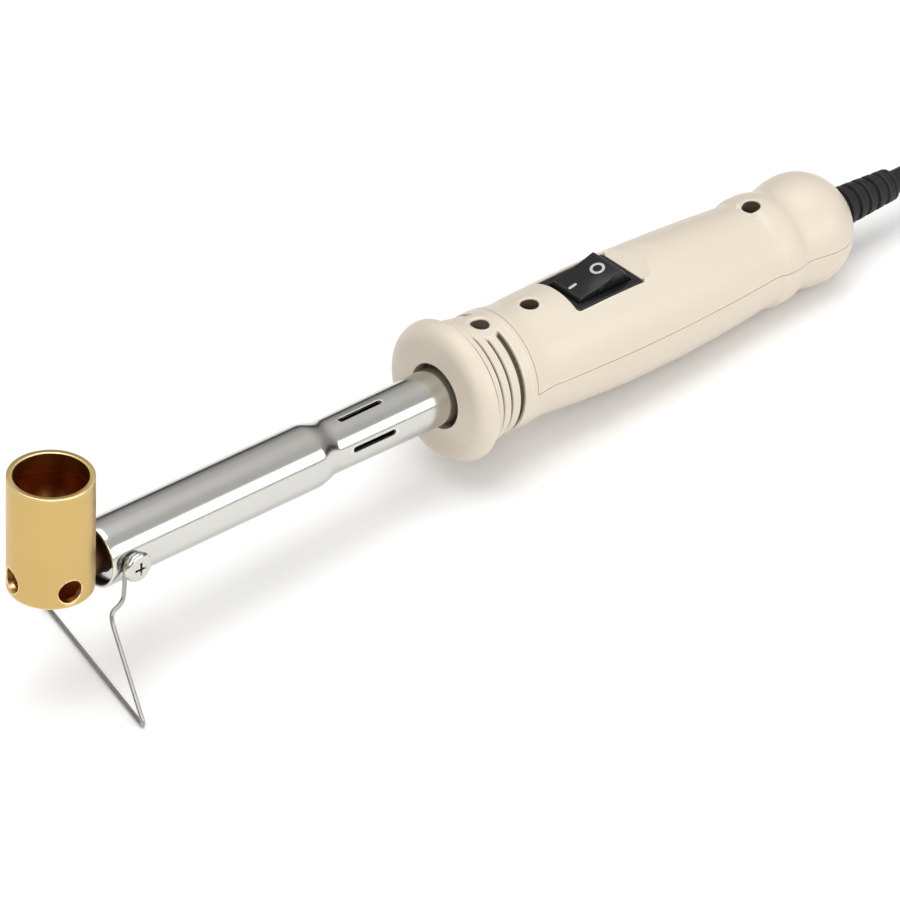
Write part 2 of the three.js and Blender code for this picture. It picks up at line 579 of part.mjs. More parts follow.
/** Upper half, with the switch's seat and pocket and two counterbored screw holes. */
function handleCover() {
  const shell = cut(handleOutside, cavity, bootHole).intersect(upperRegion);
  const halfLength = BEZEL_LENGTH / 2 + GAP;
  const halfWidth = BEZEL_WIDTH / 2 + GAP;
  const seat = cutBlock([SWITCH_X - halfLength - 2.5, -halfWidth - 2, BEZEL_SEAT - 2.5],
    [SWITCH_X + halfLength + 2.5, halfWidth + 2, BEZEL_TOP]);
  const bosses = [FRONT_SCREW_X, REAR_SCREW_X].map((x) =>
    cutRod(BOSS_R, [x, 0, GAP / 2], [x, 0, far], 20));
  const inside = joined(seat, ...bosses).intersect(handleOutside);
  const pocket = cutBlock([SWITCH_X - halfLength, -halfWidth, BEZEL_SEAT],
    [SWITCH_X + halfLength, halfWidth, far]);
  const opening = cutBlock(
    [SWITCH_X - HOUSING_LENGTH / 2 - GAP, -HOUSING_WIDTH / 2 - GAP, 0],
    [SWITCH_X + HOUSING_LENGTH / 2 + GAP, HOUSING_WIDTH / 2 + GAP, far]);
  const rampLine = new THREE.Shape([[0, 0], [0, 6], [14, 6], [14, 2.6]]
    .map(([x, z]) => new THREE.Vector2(x, z)));
  const ramp = solidOf(new THREE.ExtrudeGeometry(rampLine, { depth: 2 * halfWidth, bevelEnabled: false })
    .rotateX(Math.PI / 2).translate(SWITCH_X + halfLength - 0.5, halfWidth, BEZEL_TOP - 0.4));
  const holes = [FRONT_SCREW_X, REAR_SCREW_X].flatMap((x) => [
    cutRod(HOLE_R, [x, 0, SHELL_SCREW_SEAT], [x, 0, far], 20),
    cutRod(SHELL_SCREW_R + GAP, [x, 0, -1], [x, 0, SHELL_SCREW_SEAT + 1], 12)]);
  return cut(joined(shell, inside), pocket, opening, ramp, ...holes);
}

piece(tool, 'handle_body', handleBody(), CREAM);
piece(tool, 'handle_cover', handleCover(), CREAM);

/** Slotted screw driven down along Z. */
function downScrew([x, y], tip, seat, head, shaftR, headR) {
  const profile = [[tip, 0], [tip, shaftR], [seat, shaftR], [seat, headR], [seat + head, headR],
    [seat + head, 0]];
  const slot = cutBlock([-0.3, -headR - 1, seat + head / 2], [0.3, headR + 1, seat + head + 1]);
  return geometryOf(cut(solidOf(turned(profile, 14).rotateY(-Math.PI / 2)), slot)).translate(x, y, 0);
}

const grubR = HOLE_R - GAP;
piece(tool, 'collar_screw',
  downScrew([COLLAR_SCREW_X, 0], BARREL_REAR_R + GAP, BUSH_R - 1, 2.6, grubR - 0.2, grubR), ZINC);
for (const [name, x] of [['cover_screw_front', FRONT_SCREW_X], ['cover_screw_rear', REAR_SCREW_X]]) {
  piece(tool, name, downScrew([x, 0], -SHELL_SCREW_DEPTH, SHELL_SCREW_SEAT + GAP, 2,
    SHELL_SCREW_R, SHELL_SCREW_HEAD), ZINC);
}

// ---------- rocker switch ----------
const wellLength = HOUSING_LENGTH - 2 * HOUSING_WALL;
const wellWidth = HOUSING_WIDTH - 2 * HOUSING_WALL;
const tabXs = [SWITCH_X - TAB_SPREAD, SWITCH_X + TAB_SPREAD];
const pivot = [SWITCH_X, 0, PIVOT_Z];

/** Snap-in housing: a flat bezel over a well, with pin holes and slots for the tabs. */
function switchHousing() {
  const bezel = cutBlock([SWITCH_X - BEZEL_LENGTH / 2, -BEZEL_WIDTH / 2, BEZEL_SEAT + GAP],
    [SWITCH_X + BEZEL_LENGTH / 2, BEZEL_WIDTH / 2, BEZEL_TOP]);
  const body = cutBlock([SWITCH_X - HOUSING_LENGTH / 2, -HOUSING_WIDTH / 2, HOUSING_BOTTOM],
    [SWITCH_X + HOUSING_LENGTH / 2, HOUSING_WIDTH / 2, BEZEL_TOP - 0.5]);
  const well = cutBlock([SWITCH_X - wellLength / 2, -wellWidth / 2, HOUSING_BOTTOM + 1.5],
    [SWITCH_X + wellLength / 2, wellWidth / 2, BEZEL_TOP + 1]);
  const pinHole = cutRod(ROCKER_PIN_R + GAP, [SWITCH_X, -HOUSING_WIDTH, PIVOT_Z],
    [SWITCH_X, HOUSING_WIDTH, PIVOT_Z], 14);
  const slots = tabXs.map((x) => cutBlock(
    [x - TAB_WIDTH / 2 - GAP, -TAB_THICKNESS / 2 - GAP, HOUSING_BOTTOM - 1],
    [x + TAB_WIDTH / 2 + GAP, TAB_THICKNESS / 2 + GAP, HOUSING_BOTTOM + 2]));
  return cut(joined(bezel, body), well, pinHole, ...slots);
}

/** Rocker with a flat top and round ends about its pivot, shown with its front end pressed. */
function switchRocker() {
  const halfThrow = ROCKER_THROW / 2;
  const top = Math.asin(ROCKER_TOP / ROCKER_R);
  const bottom = THREE.MathUtils.degToRad(-12);
  const arc = (side) => [0, 0.25, 0.5, 0.75, 1].map((share) => {
    const angle = top + (bottom - top) * share;
    return [side * ROCKER_R * Math.cos(angle), ROCKER_R * Math.sin(angle)];
  });
  const outline = [...arc(1), [2.2, -3.4], [-2.2, -3.4], ...arc(-1).reverse()];
  const shape = new THREE.Shape(outline.map(([x, z]) => new THREE.Vector2(x, z)));
  const width = wellWidth - 2 * ROCKER_SIDE_PLAY;
  const body = solidOf(new THREE.ExtrudeGeometry(shape, { depth: width, bevelEnabled: false })
    .rotateX(Math.PI / 2).translate(0, width / 2, 0));
  const pinHole = cutRod(ROCKER_PIN_R + GAP, [0, -width, 0], [0, width, 0], 14);
  return geometryOf(cut(body, pinHole)).rotateY(-halfThrow).translate(...pivot);
}

piece(tool, 'switch_housing', switchHousing(), BLACK_PLASTIC);
piece(tool, 'switch_rocker', switchRocker(), BLACK_PLASTIC);
const pinReach = HOUSING_WIDTH / 2 - 0.1;
piece(tool, 'rocker_pin', rod(ROCKER_PIN_R, [SWITCH_X, -pinReach, PIVOT_Z],
  [SWITCH_X, pinReach, PIVOT_Z], 12), ZINC);
const tabBottom = HOUSING_BOTTOM - TAB_BELOW_HOUSING;
['switch_terminal_front', 'switch_terminal_rear'].forEach((name, i) => {
  piece(tool, name, block([tabXs[i] - TAB_WIDTH / 2, -TAB_THICKNESS / 2, tabBottom],
    [tabXs[i] + TAB_WIDTH / 2, TAB_THICKNESS / 2, HOUSING_BOTTOM + 4]), BRASS);
});

// ---------- terminal block and wiring ----------
const blockEnds = [BLOCK_X - BLOCK_LENGTH / 2, BLOCK_X + BLOCK_LENGTH / 2];
const blockTop = BLOCK_Z + BLOCK_HEIGHT / 2;
const blockScrewXs = [BLOCK_X - BLOCK_LENGTH / 4, BLOCK_X + BLOCK_LENGTH / 4];
const wireBoreR = CONDUCTOR_R + GAP;
const blockBody = cutBlock([blockEnds[0], BLOCK_Y - BLOCK_WIDTH / 2, BLOCK_Z - BLOCK_HEIGHT / 2],
  [blockEnds[1], BLOCK_Y + BLOCK_WIDTH / 2, blockTop]);
const blockHoles = [
  cutRod(wireBoreR, [blockEnds[0] - 1, BLOCK_Y, BLOCK_Z], [blockEnds[1] + 1, BLOCK_Y, BLOCK_Z], 12),
  ...blockScrewXs.map((x) =>
    cutRod(BLOCK_SCREW_R + GAP, [x, BLOCK_Y, BLOCK_Z], [x, BLOCK_Y, blockTop + 1], 12)),
];
piece(tool, 'terminal_block', cut(blockBody, ...blockHoles), CERAMIC);
['terminal_screw_front', 'terminal_screw_rear'].forEach((name, i) => {
  piece(tool, name, rod(BLOCK_SCREW_R, [blockScrewXs[i], BLOCK_Y, BLOCK_Z + CONDUCTOR_R + GAP],
    [blockScrewXs[i], BLOCK_Y, blockTop - 0.6], 10), ZINC);
});

const wireAtTab = TAB_THICKNESS / 2 + GAP + CONDUCTOR_R;
const tabWireZ = tabBottom + 1.5;
const roundFrontBoss = BOSS_R + 2;
piece(tool, 'heater_lead_live', tubeAlong(curveThrough([
  [heaterEnd + GAP, -leadHoleY, 0], [capFront + END_CAP_LENGTH + 6, -leadHoleY, 0],
  [BUSH_REAR, -leadHoleY, 0], [FRONT_SCREW_X - 5, -roundFrontBoss, -2],
  [FRONT_SCREW_X + 2, -roundFrontBoss, -4], [tabXs[0] - 5, -wireAtTab - 1, tabWireZ],
  [tabXs[0], -wireAtTab, tabWireZ], [tabXs[0] + 2, -wireAtTab, tabWireZ],
]), LEAD_WIRE_R, 6, 28), BROWN_WIRE);
piece(tool, 'heater_lead_neutral', tubeAlong(curveThrough([
  [heaterEnd + GAP, leadHoleY, 0], [capFront + END_CAP_LENGTH + 6, leadHoleY, 0],
  [BUSH_REAR, leadHoleY, 0], [FRONT_SCREW_X - 5, roundFrontBoss, -2],
  [FRONT_SCREW_X + 2, roundFrontBoss, -4], [SWITCH_X, BLOCK_Y, BLOCK_Z - 0.5],
  [blockEnds[0] - 3, BLOCK_Y, BLOCK_Z], [blockEnds[0], BLOCK_Y, BLOCK_Z],
  [BLOCK_X - 1, BLOCK_Y, BLOCK_Z],
]), LEAD_WIRE_R, 6, 34), BLUE_WIRE);

const conductorStart = INNER_CORD_START - 2 * GAP;
const roundRearBoss = BOSS_R + 2;
const aroundBoss = (side) => [
  [conductorStart, side * 1.6, 0], [conductorStart - 1.7, side * 3.2, -0.2],
  [REAR_SCREW_X + 1.8, side * roundRearBoss, -1], [REAR_SCREW_X - 3, side * roundRearBoss, -2],
];
piece(tool, 'conductor_live', tubeAlong(curveThrough([
  ...aroundBoss(-1), [BLOCK_X, -4, -6], [tabXs[1] + 6, -2.5, tabWireZ],
  [tabXs[1], -wireAtTab, tabWireZ], [tabXs[1] - 2, -wireAtTab, tabWireZ],
]), CONDUCTOR_R, 6, 22), BROWN_WIRE);
piece(tool, 'conductor_neutral', tubeAlong(curveThrough([
  ...aroundBoss(1), [blockEnds[1] + 4, BLOCK_Y, BLOCK_Z], [blockEnds[1], BLOCK_Y, BLOCK_Z],
  [BLOCK_X + 1, BLOCK_Y, BLOCK_Z],
]), CONDUCTOR_R, 6, 18), BLUE_WIRE);

// ---------- cord clamp, inner cord and strain relief ----------
piece(tool, 'inner_cord', rod(CORD_R, [INNER_CORD_START, 0, 0], [BOOT_END - GAP, 0, 0], 12), BLACK_RUBBER);
const barZ = CORD_R + GAP;
const barReach = CLAMP_SCREW_Y + CLAMP_POST_R + 0.6;
const barBody = cutBlock([CLAMP_X - CLAMP_BAR_WIDTH / 2, -barReach, barZ],
  [CLAMP_X + CLAMP_BAR_WIDTH / 2, barReach, barZ + CLAMP_BAR_HEIGHT]);
const barHoles = [-1, 1].map((side) => cutRod(CLAMP_SCREW_R + GAP,
  [CLAMP_X, side * CLAMP_SCREW_Y, 0], [CLAMP_X, side * CLAMP_SCREW_Y, barZ + CLAMP_BAR_HEIGHT + 1], 12));
piece(tool, 'cord_clamp_bar', cut(barBody, ...barHoles), FIBRE);
for (const [name, side] of [['clamp_screw_near', -1], ['clamp_screw_far', 1]]) {
  piece(tool, name, downScrew([CLAMP_X, side * CLAMP_SCREW_Y], -SHELL_SCREW_DEPTH + GAP,
    barZ + CLAMP_BAR_HEIGHT + GAP, 1, CLAMP_SCREW_R, 1.8), ZINC);
}

/** Rubber boot: inner flange, neck through the rear wall and a ribbed tapering tail. */
function strainRelief() {
  const flangeRear = HANDLE_END - REAR_WALL - GAP;
  const bore = CORD_R + GAP;
  const profile = [
    [flangeRear - BOOT_FLANGE_WIDTH, bore], [flangeRear - BOOT_FLANGE_WIDTH, BOOT_FLANGE_R],
    [flangeRear, BOOT_FLANGE_R], [flangeRear, BOOT_NECK_R], [BOOT_START, BOOT_NECK_R],
  ];
  const pitch = BOOT_LENGTH / BOOT_RIBS;
  for (let rib = 0; rib < BOOT_RIBS; rib++) {
    const radius = BOOT_FRONT_R + (BOOT_TAIL_R - BOOT_FRONT_R) * (rib / (BOOT_RIBS - 1));
    const start = BOOT_START + rib * pitch;
    profile.push([start, radius], [start + pitch * 0.6, radius]);
    if (rib < BOOT_RIBS - 1) {
      const groove = Math.max(radius - BOOT_RIB_DEPTH, bore + 0.4);
      profile.push([start + pitch * 0.65, groove], [start + pitch * 0.95, groove]);
    }
  }
  profile.push([BOOT_END, BOOT_TAIL_R], [BOOT_END, bore], [flangeRear - BOOT_FLANGE_WIDTH, bore]);
  return turned(profile, 12);
}

piece(tool, 'strain_relief', strainRelief(), BLACK_RUBBER);

// ---------- how the tool stands ----------
const footLow = [FOOT_X, -FOOT_DROP];
const restSlope = Math.min(...handleOutline().filter(([x]) => x > SEAM_X + GRIP_BELLY_AT)
  .map(([x, radius]) => (-radius - bowAt(x) - footLow[1]) / (x - footLow[0])));
const tilt = Math.atan(restSlope);

// ---------- wire stand ----------
/** Bent wire with an eye at each end, folding about the tip screws. */
function standWire() {
  const footZ = (x) => footLow[1] + WIRE_R + restSlope * (x - footLow[0]);
  const eyeR = EYE_HOLE_R + WIRE_R;
  const leg = (side) => [
    [TIP_SCREW_X - eyeR * 0.5, side * EYE_WIRE_Y, -eyeR * 0.86],
    [TIP_SCREW_X - 3.4, side * (EYE_WIRE_Y + 0.1), -8.8],
    [TIP_SCREW_X - 3.4 - WIRE_JOG, side * (EYE_WIRE_Y + 0.7), -9.7],
    [TIP_SCREW_X - 3.7 - WIRE_JOG, side * (EYE_WIRE_Y + 1.3), -12],
  ];
  const corner = (side) => {
    const x = FOOT_X + side * FOOT_SKEW;
    return [x, side * FOOT_HALF_SPAN, footZ(x)];
  };
  const route = [...leg(-1), corner(-1), corner(1), ...leg(1).reverse()];
  const wire = solidOf(tubeAlong(bentPath(route, WIRE_BEND), WIRE_R, 6, 64));
  const eyes = [-1, 1].map((side) => solidOf(turned(
    tubeProfile(-WIRE_R, WIRE_R, EYE_HOLE_R + 2 * WIRE_R, EYE_HOLE_R), 20)
    .rotateZ(Math.PI / 2).translate(TIP_SCREW_X, side * EYE_WIRE_Y, 0)));
  const holes = [-1, 1].map((side) => cutRod(EYE_HOLE_R,
    [TIP_SCREW_X, side * (BARREL_R - 1), 0], [TIP_SCREW_X, side * (HEAD_BASE_Y + 2), 0], 20));
  return cut(joined(wire, ...eyes), ...holes);
}

piece(tool, 'stand_wire', standWire(), STAINLESS);

// ---------- placing the tool on the bench ----------
tool.rotation.y = tilt;
tool.updateMatrixWorld(true);
const toolBox = new THREE.Box3().setFromObject(tool, true);
const benchShift = toolBox.getCenter(new THREE.Vector3()).negate().setZ(-toolBox.min.z);
tool.position.copy(benchShift);
tool.updateMatrixWorld(true);

// ---------- mains lead ----------
const exit = new THREE.Vector3(BOOT_END, 0, 0).applyMatrix4(tool.matrixWorld);
lead.position.set(exit.x, exit.y, 0);
const fall = Math.tan(tilt);
const ringOuter = COIL_OUTER_TURN + CORD_R;
const ringInner = COIL_INNER_TURN - CORD_R - GAP;
const ringTop = COIL_LIFT + 2 * CORD_PITCH + GAP;

// route from the boot to the hank, from the exit's foot on the bench: x, y and height
const RUN = [
  [GAP, 0, exit.z - GAP * fall], [6, 0, exit.z - 6 * fall], [12, 1.1, 11.7], [18, 4, 10.6],
  [24, 8, 9], [30, 12.5, 7.3], [36, 16.7, 5.8], [42, 20.1, 4.7], [48, 21.9, 4.1], [54, 22, 3.9],
  [62, 22, 3.8], [70, 22, 3.8],
];
// route over the hank to the plug, from the middle of the hank's far bend
const TAIL = [
  [-26, 29.8, 10.3], [-17, 30, 11.6], [-8, 30, 13.2], [0, 29.6, 14.8], [8.5, 27.2, 16],
  [16.2, 19.5, 16.5], [19, 9, 16.6], [16.2, -1.5, 16.6], [8.5, -9.2, 16.6], [-2, -12, 16.7],
  [-9, -12, 17.5], [-16, -12, 18.8], [-22, -12, 19.6], [-26, -12, 19.9],
];
const [hankX, hankY] = HANK_START;

/** Part of a route that lies clear of the hank, beside it or above it. */
function clearOfHank(route) {
  const reach = ringOuter + CORD_R + GAP;
  const above = ringTop + CORD_R + GAP;
  const aside = (p) => Math.hypot(p.x - hankX - THREE.MathUtils.clamp(p.x - hankX, 0, HANK_RUN),
    p.y - hankY);
  const curve = curveThrough(route);
  const samples = curve.getSpacedPoints(120);
  const kept = samples.filter((p) => aside(p) > reach || p.z > above);
  const stride = 4;
  return kept.filter((_, i) => i % stride === 0 || i === kept.length - 1).map((p) => p.toArray());
}

const tailRoute = TAIL.map(([x, y, z]) => [hankX + HANK_RUN + x, hankY + y, z]);
const tailEnd = tailRoute[tailRoute.length - 1];
const runOutside = clearOfHank(RUN);
const tailOutside = clearOfHank(tailRoute);
piece(lead, 'cord_run', tubeAlong(curveThrough(runOutside), CORD_R, 10, 10), BLACK_RUBBER);
piece(lead, 'cord_tail', tubeAlong(curveThrough(tailOutside), CORD_R, 10, 12), BLACK_RUBBER);

/** Outline with two straight sides and round ends. */
function racetrack(half) {
  const outline = new THREE.Path();
  outline.absarc(HANK_RUN, 0, half, -Math.PI / 2, Math.PI / 2, false);
  outline.absarc(0, 0, half, Math.PI / 2, 1.5 * Math.PI, false);
  return outline;
}
const hankShape = new THREE.Shape(racetrack(ringOuter).getPoints(14));
hankShape.holes.push(new THREE.Path(racetrack(ringInner).getPoints(14)));
piece(lead, 'cord_coil', solidOf(new THREE.ExtrudeGeometry(hankShape,
  { depth: ringTop - COIL_LIFT, bevelEnabled: false })).translate([hankX, hankY, COIL_LIFT]),
BLACK_RUBBER);

/** Flat strap round the hank's bend towards the tool. */
function cordTie() {
  const hole = [ringInner - GAP - 0.5, ringOuter + GAP, COIL_LIFT - GAP, ringTop + GAP];
  const [inner, outer, low, high] = hole;
  const strap = cutBlock([hankX - outer - TIE_THICKNESS, hankY - TIE_WIDTH / 2, 0],
    [hankX - inner + TIE_THICKNESS, hankY + TIE_WIDTH / 2, high + TIE_THICKNESS]);
  const through = cutBlock([hankX - outer, hankY - TIE_WIDTH, low],
    [hankX - inner, hankY + TIE_WIDTH, high]);
  return cut(strap, through);
}
piece(lead, 'cord_tie', cordTie(), BLACK_PLASTIC);

const plugBottom = ringTop + GAP;

/** Flat plug moulding lying on the hank, widening from the cord to the pin face. */
function plugBody() {
  const outline = [[0, PLUG_TAIL_WIDTH / 2], [PLUG_LENGTH * 0.55, PLUG_WIDTH / 2],
    [PLUG_LENGTH, PLUG_WIDTH / 2], [PLUG_LENGTH, -PLUG_WIDTH / 2],
    [PLUG_LENGTH * 0.55, -PLUG_WIDTH / 2], [0, -PLUG_TAIL_WIDTH / 2]];
  const shape = new THREE.Shape(outline.map(([x, y]) => new THREE.Vector2(x, y)));
  return new THREE.ExtrudeGeometry(shape, { depth: PLUG_THICKNESS, bevelEnabled: false })
    .rotateZ(Math.PI).translate(tailEnd[0] - GAP, tailEnd[1], plugBottom);
}
piece(lead, 'plug_body', plugBody(), BLACK_RUBBER);
const pinFace = tailEnd[0] - GAP - PLUG_LENGTH - GAP;
for (const [name, side] of [['plug_pin_left', -1], ['plug_pin_right', 1]]) {
  const y = tailEnd[1] + side * PLUG_PIN_SPREAD;
  piece(lead, name, rod(PLUG_PIN_R, [pinFace, y, plugBottom + PLUG_THICKNESS / 2],
    [pinFace - PLUG_PIN_LENGTH, y, plugBottom + PLUG_THICKNESS / 2], 14), BRASS);
}

const group = new THREE.Group();
group.add(tool, lead);
export default group;
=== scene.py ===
"""Looks of a heated hand iron.

It has a brass cup head, a steel barrel, a moulded grip, a wire stand and a mains lead.

The tool is laid out straight in millimetres, with the barrel's axis along x, the cup's axis through
the layout's zero and its open end upwards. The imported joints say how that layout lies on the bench,
and every piece is put there, in metres, once its mesh is finished.
"""

import json
import logging
import math
from dataclasses import dataclass, field
from enum import Enum
from itertools import accumulate
from typing import Callable, Dict, List, Optional, Sequence, Tuple

import bpy
import numpy as np
from mathutils import Matrix


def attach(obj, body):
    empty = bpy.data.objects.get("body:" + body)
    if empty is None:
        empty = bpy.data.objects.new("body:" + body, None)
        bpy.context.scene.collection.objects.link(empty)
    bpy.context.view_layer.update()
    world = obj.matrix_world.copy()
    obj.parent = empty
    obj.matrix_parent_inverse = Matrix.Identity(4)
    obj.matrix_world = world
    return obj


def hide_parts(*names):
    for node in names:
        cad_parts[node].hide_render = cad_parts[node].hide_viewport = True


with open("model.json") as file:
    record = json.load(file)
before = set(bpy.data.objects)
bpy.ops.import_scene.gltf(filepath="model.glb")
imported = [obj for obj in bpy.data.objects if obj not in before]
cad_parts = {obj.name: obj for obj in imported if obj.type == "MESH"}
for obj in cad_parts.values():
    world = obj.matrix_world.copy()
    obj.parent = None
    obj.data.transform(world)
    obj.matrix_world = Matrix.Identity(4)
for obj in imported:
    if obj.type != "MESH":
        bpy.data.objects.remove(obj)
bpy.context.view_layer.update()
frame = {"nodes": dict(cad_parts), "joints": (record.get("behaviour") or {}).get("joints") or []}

Array = np.ndarray
Colour = Tuple[float, float, float]
Painter = Callable[[Array], Array]

LOG = logging.getLogger("hand_iron")
MM = 0.001
Y_AXIS = np.array([0.0, 1.0, 0.0])


# ---------------------------------------------------------------- layout
@dataclass(frozen=True)
class Layout:
    """Where the straight layout of the tool lies on the bench."""

    origin: Array
    along: Array
    upward: Array

    @classmethod
    def from_joints(cls, joints: Sequence[dict], screw_x: float) -> "Layout":
        """Reads the layout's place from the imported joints.

        Args:
            joints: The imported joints. The slide runs down the barrel's axis, and the stand turns
                about the tip screws.
            screw_x: Where the tip screws are along the layout, in millimetres.

        Returns:
            The layout.
        """
        named = {joint["name"]: joint for joint in joints}
        along = -np.array(named["tip_slide"]["axis"], float)
        along /= np.linalg.norm(along)
        upward = np.array([-along[2], 0.0, along[0]])
        origin = np.array(named["stand_fold"]["pos_m"], float) - along * screw_x * MM
        return cls(origin, along, upward)

    def turned(self, vectors: Array) -> Array:
        """Directions of the layout as directions on the bench."""
        vectors = np.asarray(vectors, float)
        return (vectors[..., :1] * self.along + vectors[..., 1:2] * Y_AXIS
                + vectors[..., 2:] * self.upward)

    def placed(self, points: Array) -> Array:
        """Points of the layout, in millimetres, as points on the bench, in metres."""
        return self.origin + MM * self.turned(points)

    def slope(self) -> float:
        """How fast the bench rises along the layout, from the tilt."""
        return -self.along[2] / self.along[0]


# ---------------------------------------------------------------- shapes on grids
def smooth(value: Array, low: float = 0.0, high: float = 1.0) -> Array:
    """Rises from 0 at low to 1 at high, level at both ends."""
    share = np.clip((np.asarray(value, float) - low) / (high - low), 0.0, 1.0)
    return share * share * (3 - 2 * share)


def spaced(*runs: Tuple[float, float, int]) -> Array:
    """Joins evenly spaced runs, each (first, last, count), into one rising list of stations."""
    return np.unique(np.round(np.concatenate([np.linspace(*run) for run in runs]), 6))


def spline(points: Sequence[Sequence[float]], samples: int) -> Array:
    """Natural cubic spline through points, measured along its chords.

    The second derivatives solve the usual three-term equations, and each stretch is the cubic that
    they give.

    Args:
        points: Points to pass through.
        samples: How many points to give back, evenly spaced along the chords.

    Returns:
        Points on the curve, one row each.
    """
    given = np.asarray(points, float)
    gaps = np.linalg.norm(np.diff(given, axis=0), axis=1)
    at = np.concatenate([[0.0], np.cumsum(gaps)])
    count = len(given)
    system = np.eye(count)
    right = np.zeros_like(given)
    inner = np.arange(1, count - 1)
    system[inner, inner] = 2 * (gaps[:-1] + gaps[1:])
    system[inner, inner - 1] = gaps[:-1]
    system[inner, inner + 1] = gaps[1:]
    slopes = np.diff(given, axis=0) / gaps[:, None]
    right[1:-1] = 6 * np.diff(slopes, axis=0)
    bend = np.linalg.solve(system, right)
    where = np.linspace(0, at[-1], samples)
    stretch = np.clip(np.searchsorted(at, where, side="right") - 1, 0, count - 2)
    gap = gaps[stretch][:, None]
    before = (where - at[stretch])[:, None]
    after = gap - before
    return (bend[stretch] * after ** 3 + bend[stretch + 1] * before ** 3) / (6 * gap) \
        + (given[stretch] / gap - bend[stretch] * gap / 6) * after \
        + (given[stretch + 1] / gap - bend[stretch + 1] * gap / 6) * before


def ring_angles(columns: int) -> Array:
    """Angles of a full turn, without the repeated last one."""
    return np.linspace(0, 2 * math.pi, columns, endpoint=False)


def quarter_turn(count: int) -> Array:
    """Evenly spaced angles from 0 to a right angle, both included."""
    return np.linspace(0, math.pi / 2, count)


def turned_grid(profile: Array, columns: int) -> Array:
    """Revolves a profile about the layout's x axis: (x, radius) goes to (x, -r sin a, r cos a)."""
    angle = ring_angles(columns)
    x, radius = np.asarray(profile, float).T
    return np.stack([np.repeat(x[:, None], columns, 1), -radius[:, None] * np.sin(angle),
                     radius[:, None] * np.cos(angle)], axis=-1)


def upright_grid(profile: Array, columns: int, centre: Tuple[float, float] = (0.0, 0.0)) -> Array:
    """Revolves a profile about an upright axis: (z, radius) goes to (r cos a, r sin a, z)."""
    angle = ring_angles(columns)
    z, radius = np.asarray(profile, float).T
    return np.stack([centre[0] + radius[:, None] * np.cos(angle),
                     centre[1] + radius[:, None] * np.sin(angle),
                     np.repeat(z[:, None], columns, 1)], axis=-1)


def rounded_loop(half_x: Array, half_y: Array, corner: Array, columns: int) -> Array:
    """Rounded rectangles with a matching point at each column.

    Each quarter is an arc of the corner's radius, and the columns spread evenly over the arcs and
    the straight sides between them.

    Args:
        half_x: Half length of each loop along x.
        half_y: Half length of each loop along y.
        corner: Corner radius of each loop.
        columns: Points round each loop, a multiple of eight.

    Returns:
        Array of loops by columns by 2.
    """
    quarter = columns // 4
    share = np.linspace(0, 1, quarter, endpoint=False)
    bend = np.clip((share - 0.25) / 0.5, 0, 1) * math.pi / 2
    inner_x = (np.asarray(half_x, float) - corner)[:, None]
    inner_y = (np.asarray(half_y, float) - corner)[:, None]
    radius = np.asarray(corner, float)[:, None]
    rise = np.clip(share / 0.25, 0, 1)
    fall = np.clip((share - 0.75) / 0.25, 0, 1)
    east = np.stack([inner_x * (1 - fall) + radius * np.cos(bend),
                     inner_y * rise + radius * np.sin(bend)], -1)
    north = np.stack([-inner_x * rise - radius * np.sin(bend),
                      inner_y * (1 - fall) + radius * np.cos(bend)], -1)
    return np.concatenate([east, north, -east, -north], axis=1)


def boxed_grid(rows: Sequence[Tuple[float, float, float, float]], columns: int = 96) -> Array:
    """Stacks rounded rectangles, each (half x, half y, corner, height), into one skin."""
    half_x, half_y, corner, height = np.asarray(rows, float).T
    loops = rounded_loop(half_x, half_y, corner, columns)
    return np.concatenate([loops, np.repeat(height[:, None, None], columns, 1)], axis=-1)


def swept_grid(path: Array, radius: Array, columns: int) -> Array:
    """Carries a circle along a path, with frames that turn as little as they can.

    Args:
        path: Points of the centreline.
        radius: Radius at each point.
        columns: Points round the section.

    Returns:
        Array of path points by columns by 3.
    """
    tangent = np.gradient(path, axis=0)
    tangent /= np.linalg.norm(tangent, axis=1, keepdims=True)

    def carry(normal: Array, direction: Array) -> Array:
        """Turns the last normal into the next section's plane."""
        level = normal - direction * normal.dot(direction)
        return level / np.linalg.norm(level)

    start = np.eye(3)[np.argmin(np.abs(tangent[0]))]
    normal = np.array(list(accumulate(tangent, carry, initial=start)))[1:]
    side = np.cross(tangent, normal)
    angle = ring_angles(columns)[None, :, None]
    reach = np.broadcast_to(np.asarray(radius, float), len(path))[:, None, None]
    return path[:, None] + reach * (np.cos(angle) * normal[:, None] + np.sin(angle) * side[:, None])


# ---------------------------------------------------------------- meshes
class Cut(Enum):
    """How one solid works on another."""

    REMOVE = "DIFFERENCE"
    KEEP = "INTERSECT"
    ADD = "UNION"


def skin_faces(rows: int, columns: int, loop: bool) -> Array:
    """Quads of a grid that closes round its columns, and along its rows if it is a loop."""
    row = np.arange(rows if loop else rows - 1)[:, None]
    column = np.arange(columns)[None, :]
    after, beside = (row + 1) % rows, (column + 1) % columns
    corners = [row * columns + column, row * columns + beside,
               after * columns + beside, after * columns + column]
    return np.stack([np.broadcast_to(c, (len(row), columns)).ravel() for c in corners], axis=1)


def volume_sign(points: Array, triangles: Array) -> float:
    """Positive if the triangles of a closed skin face outwards."""
    a, b, c = (points[triangles[:, i]] for i in range(3))
    return float(np.sign(np.einsum("ij,ij->i", a, np.cross(b, c)).sum()))


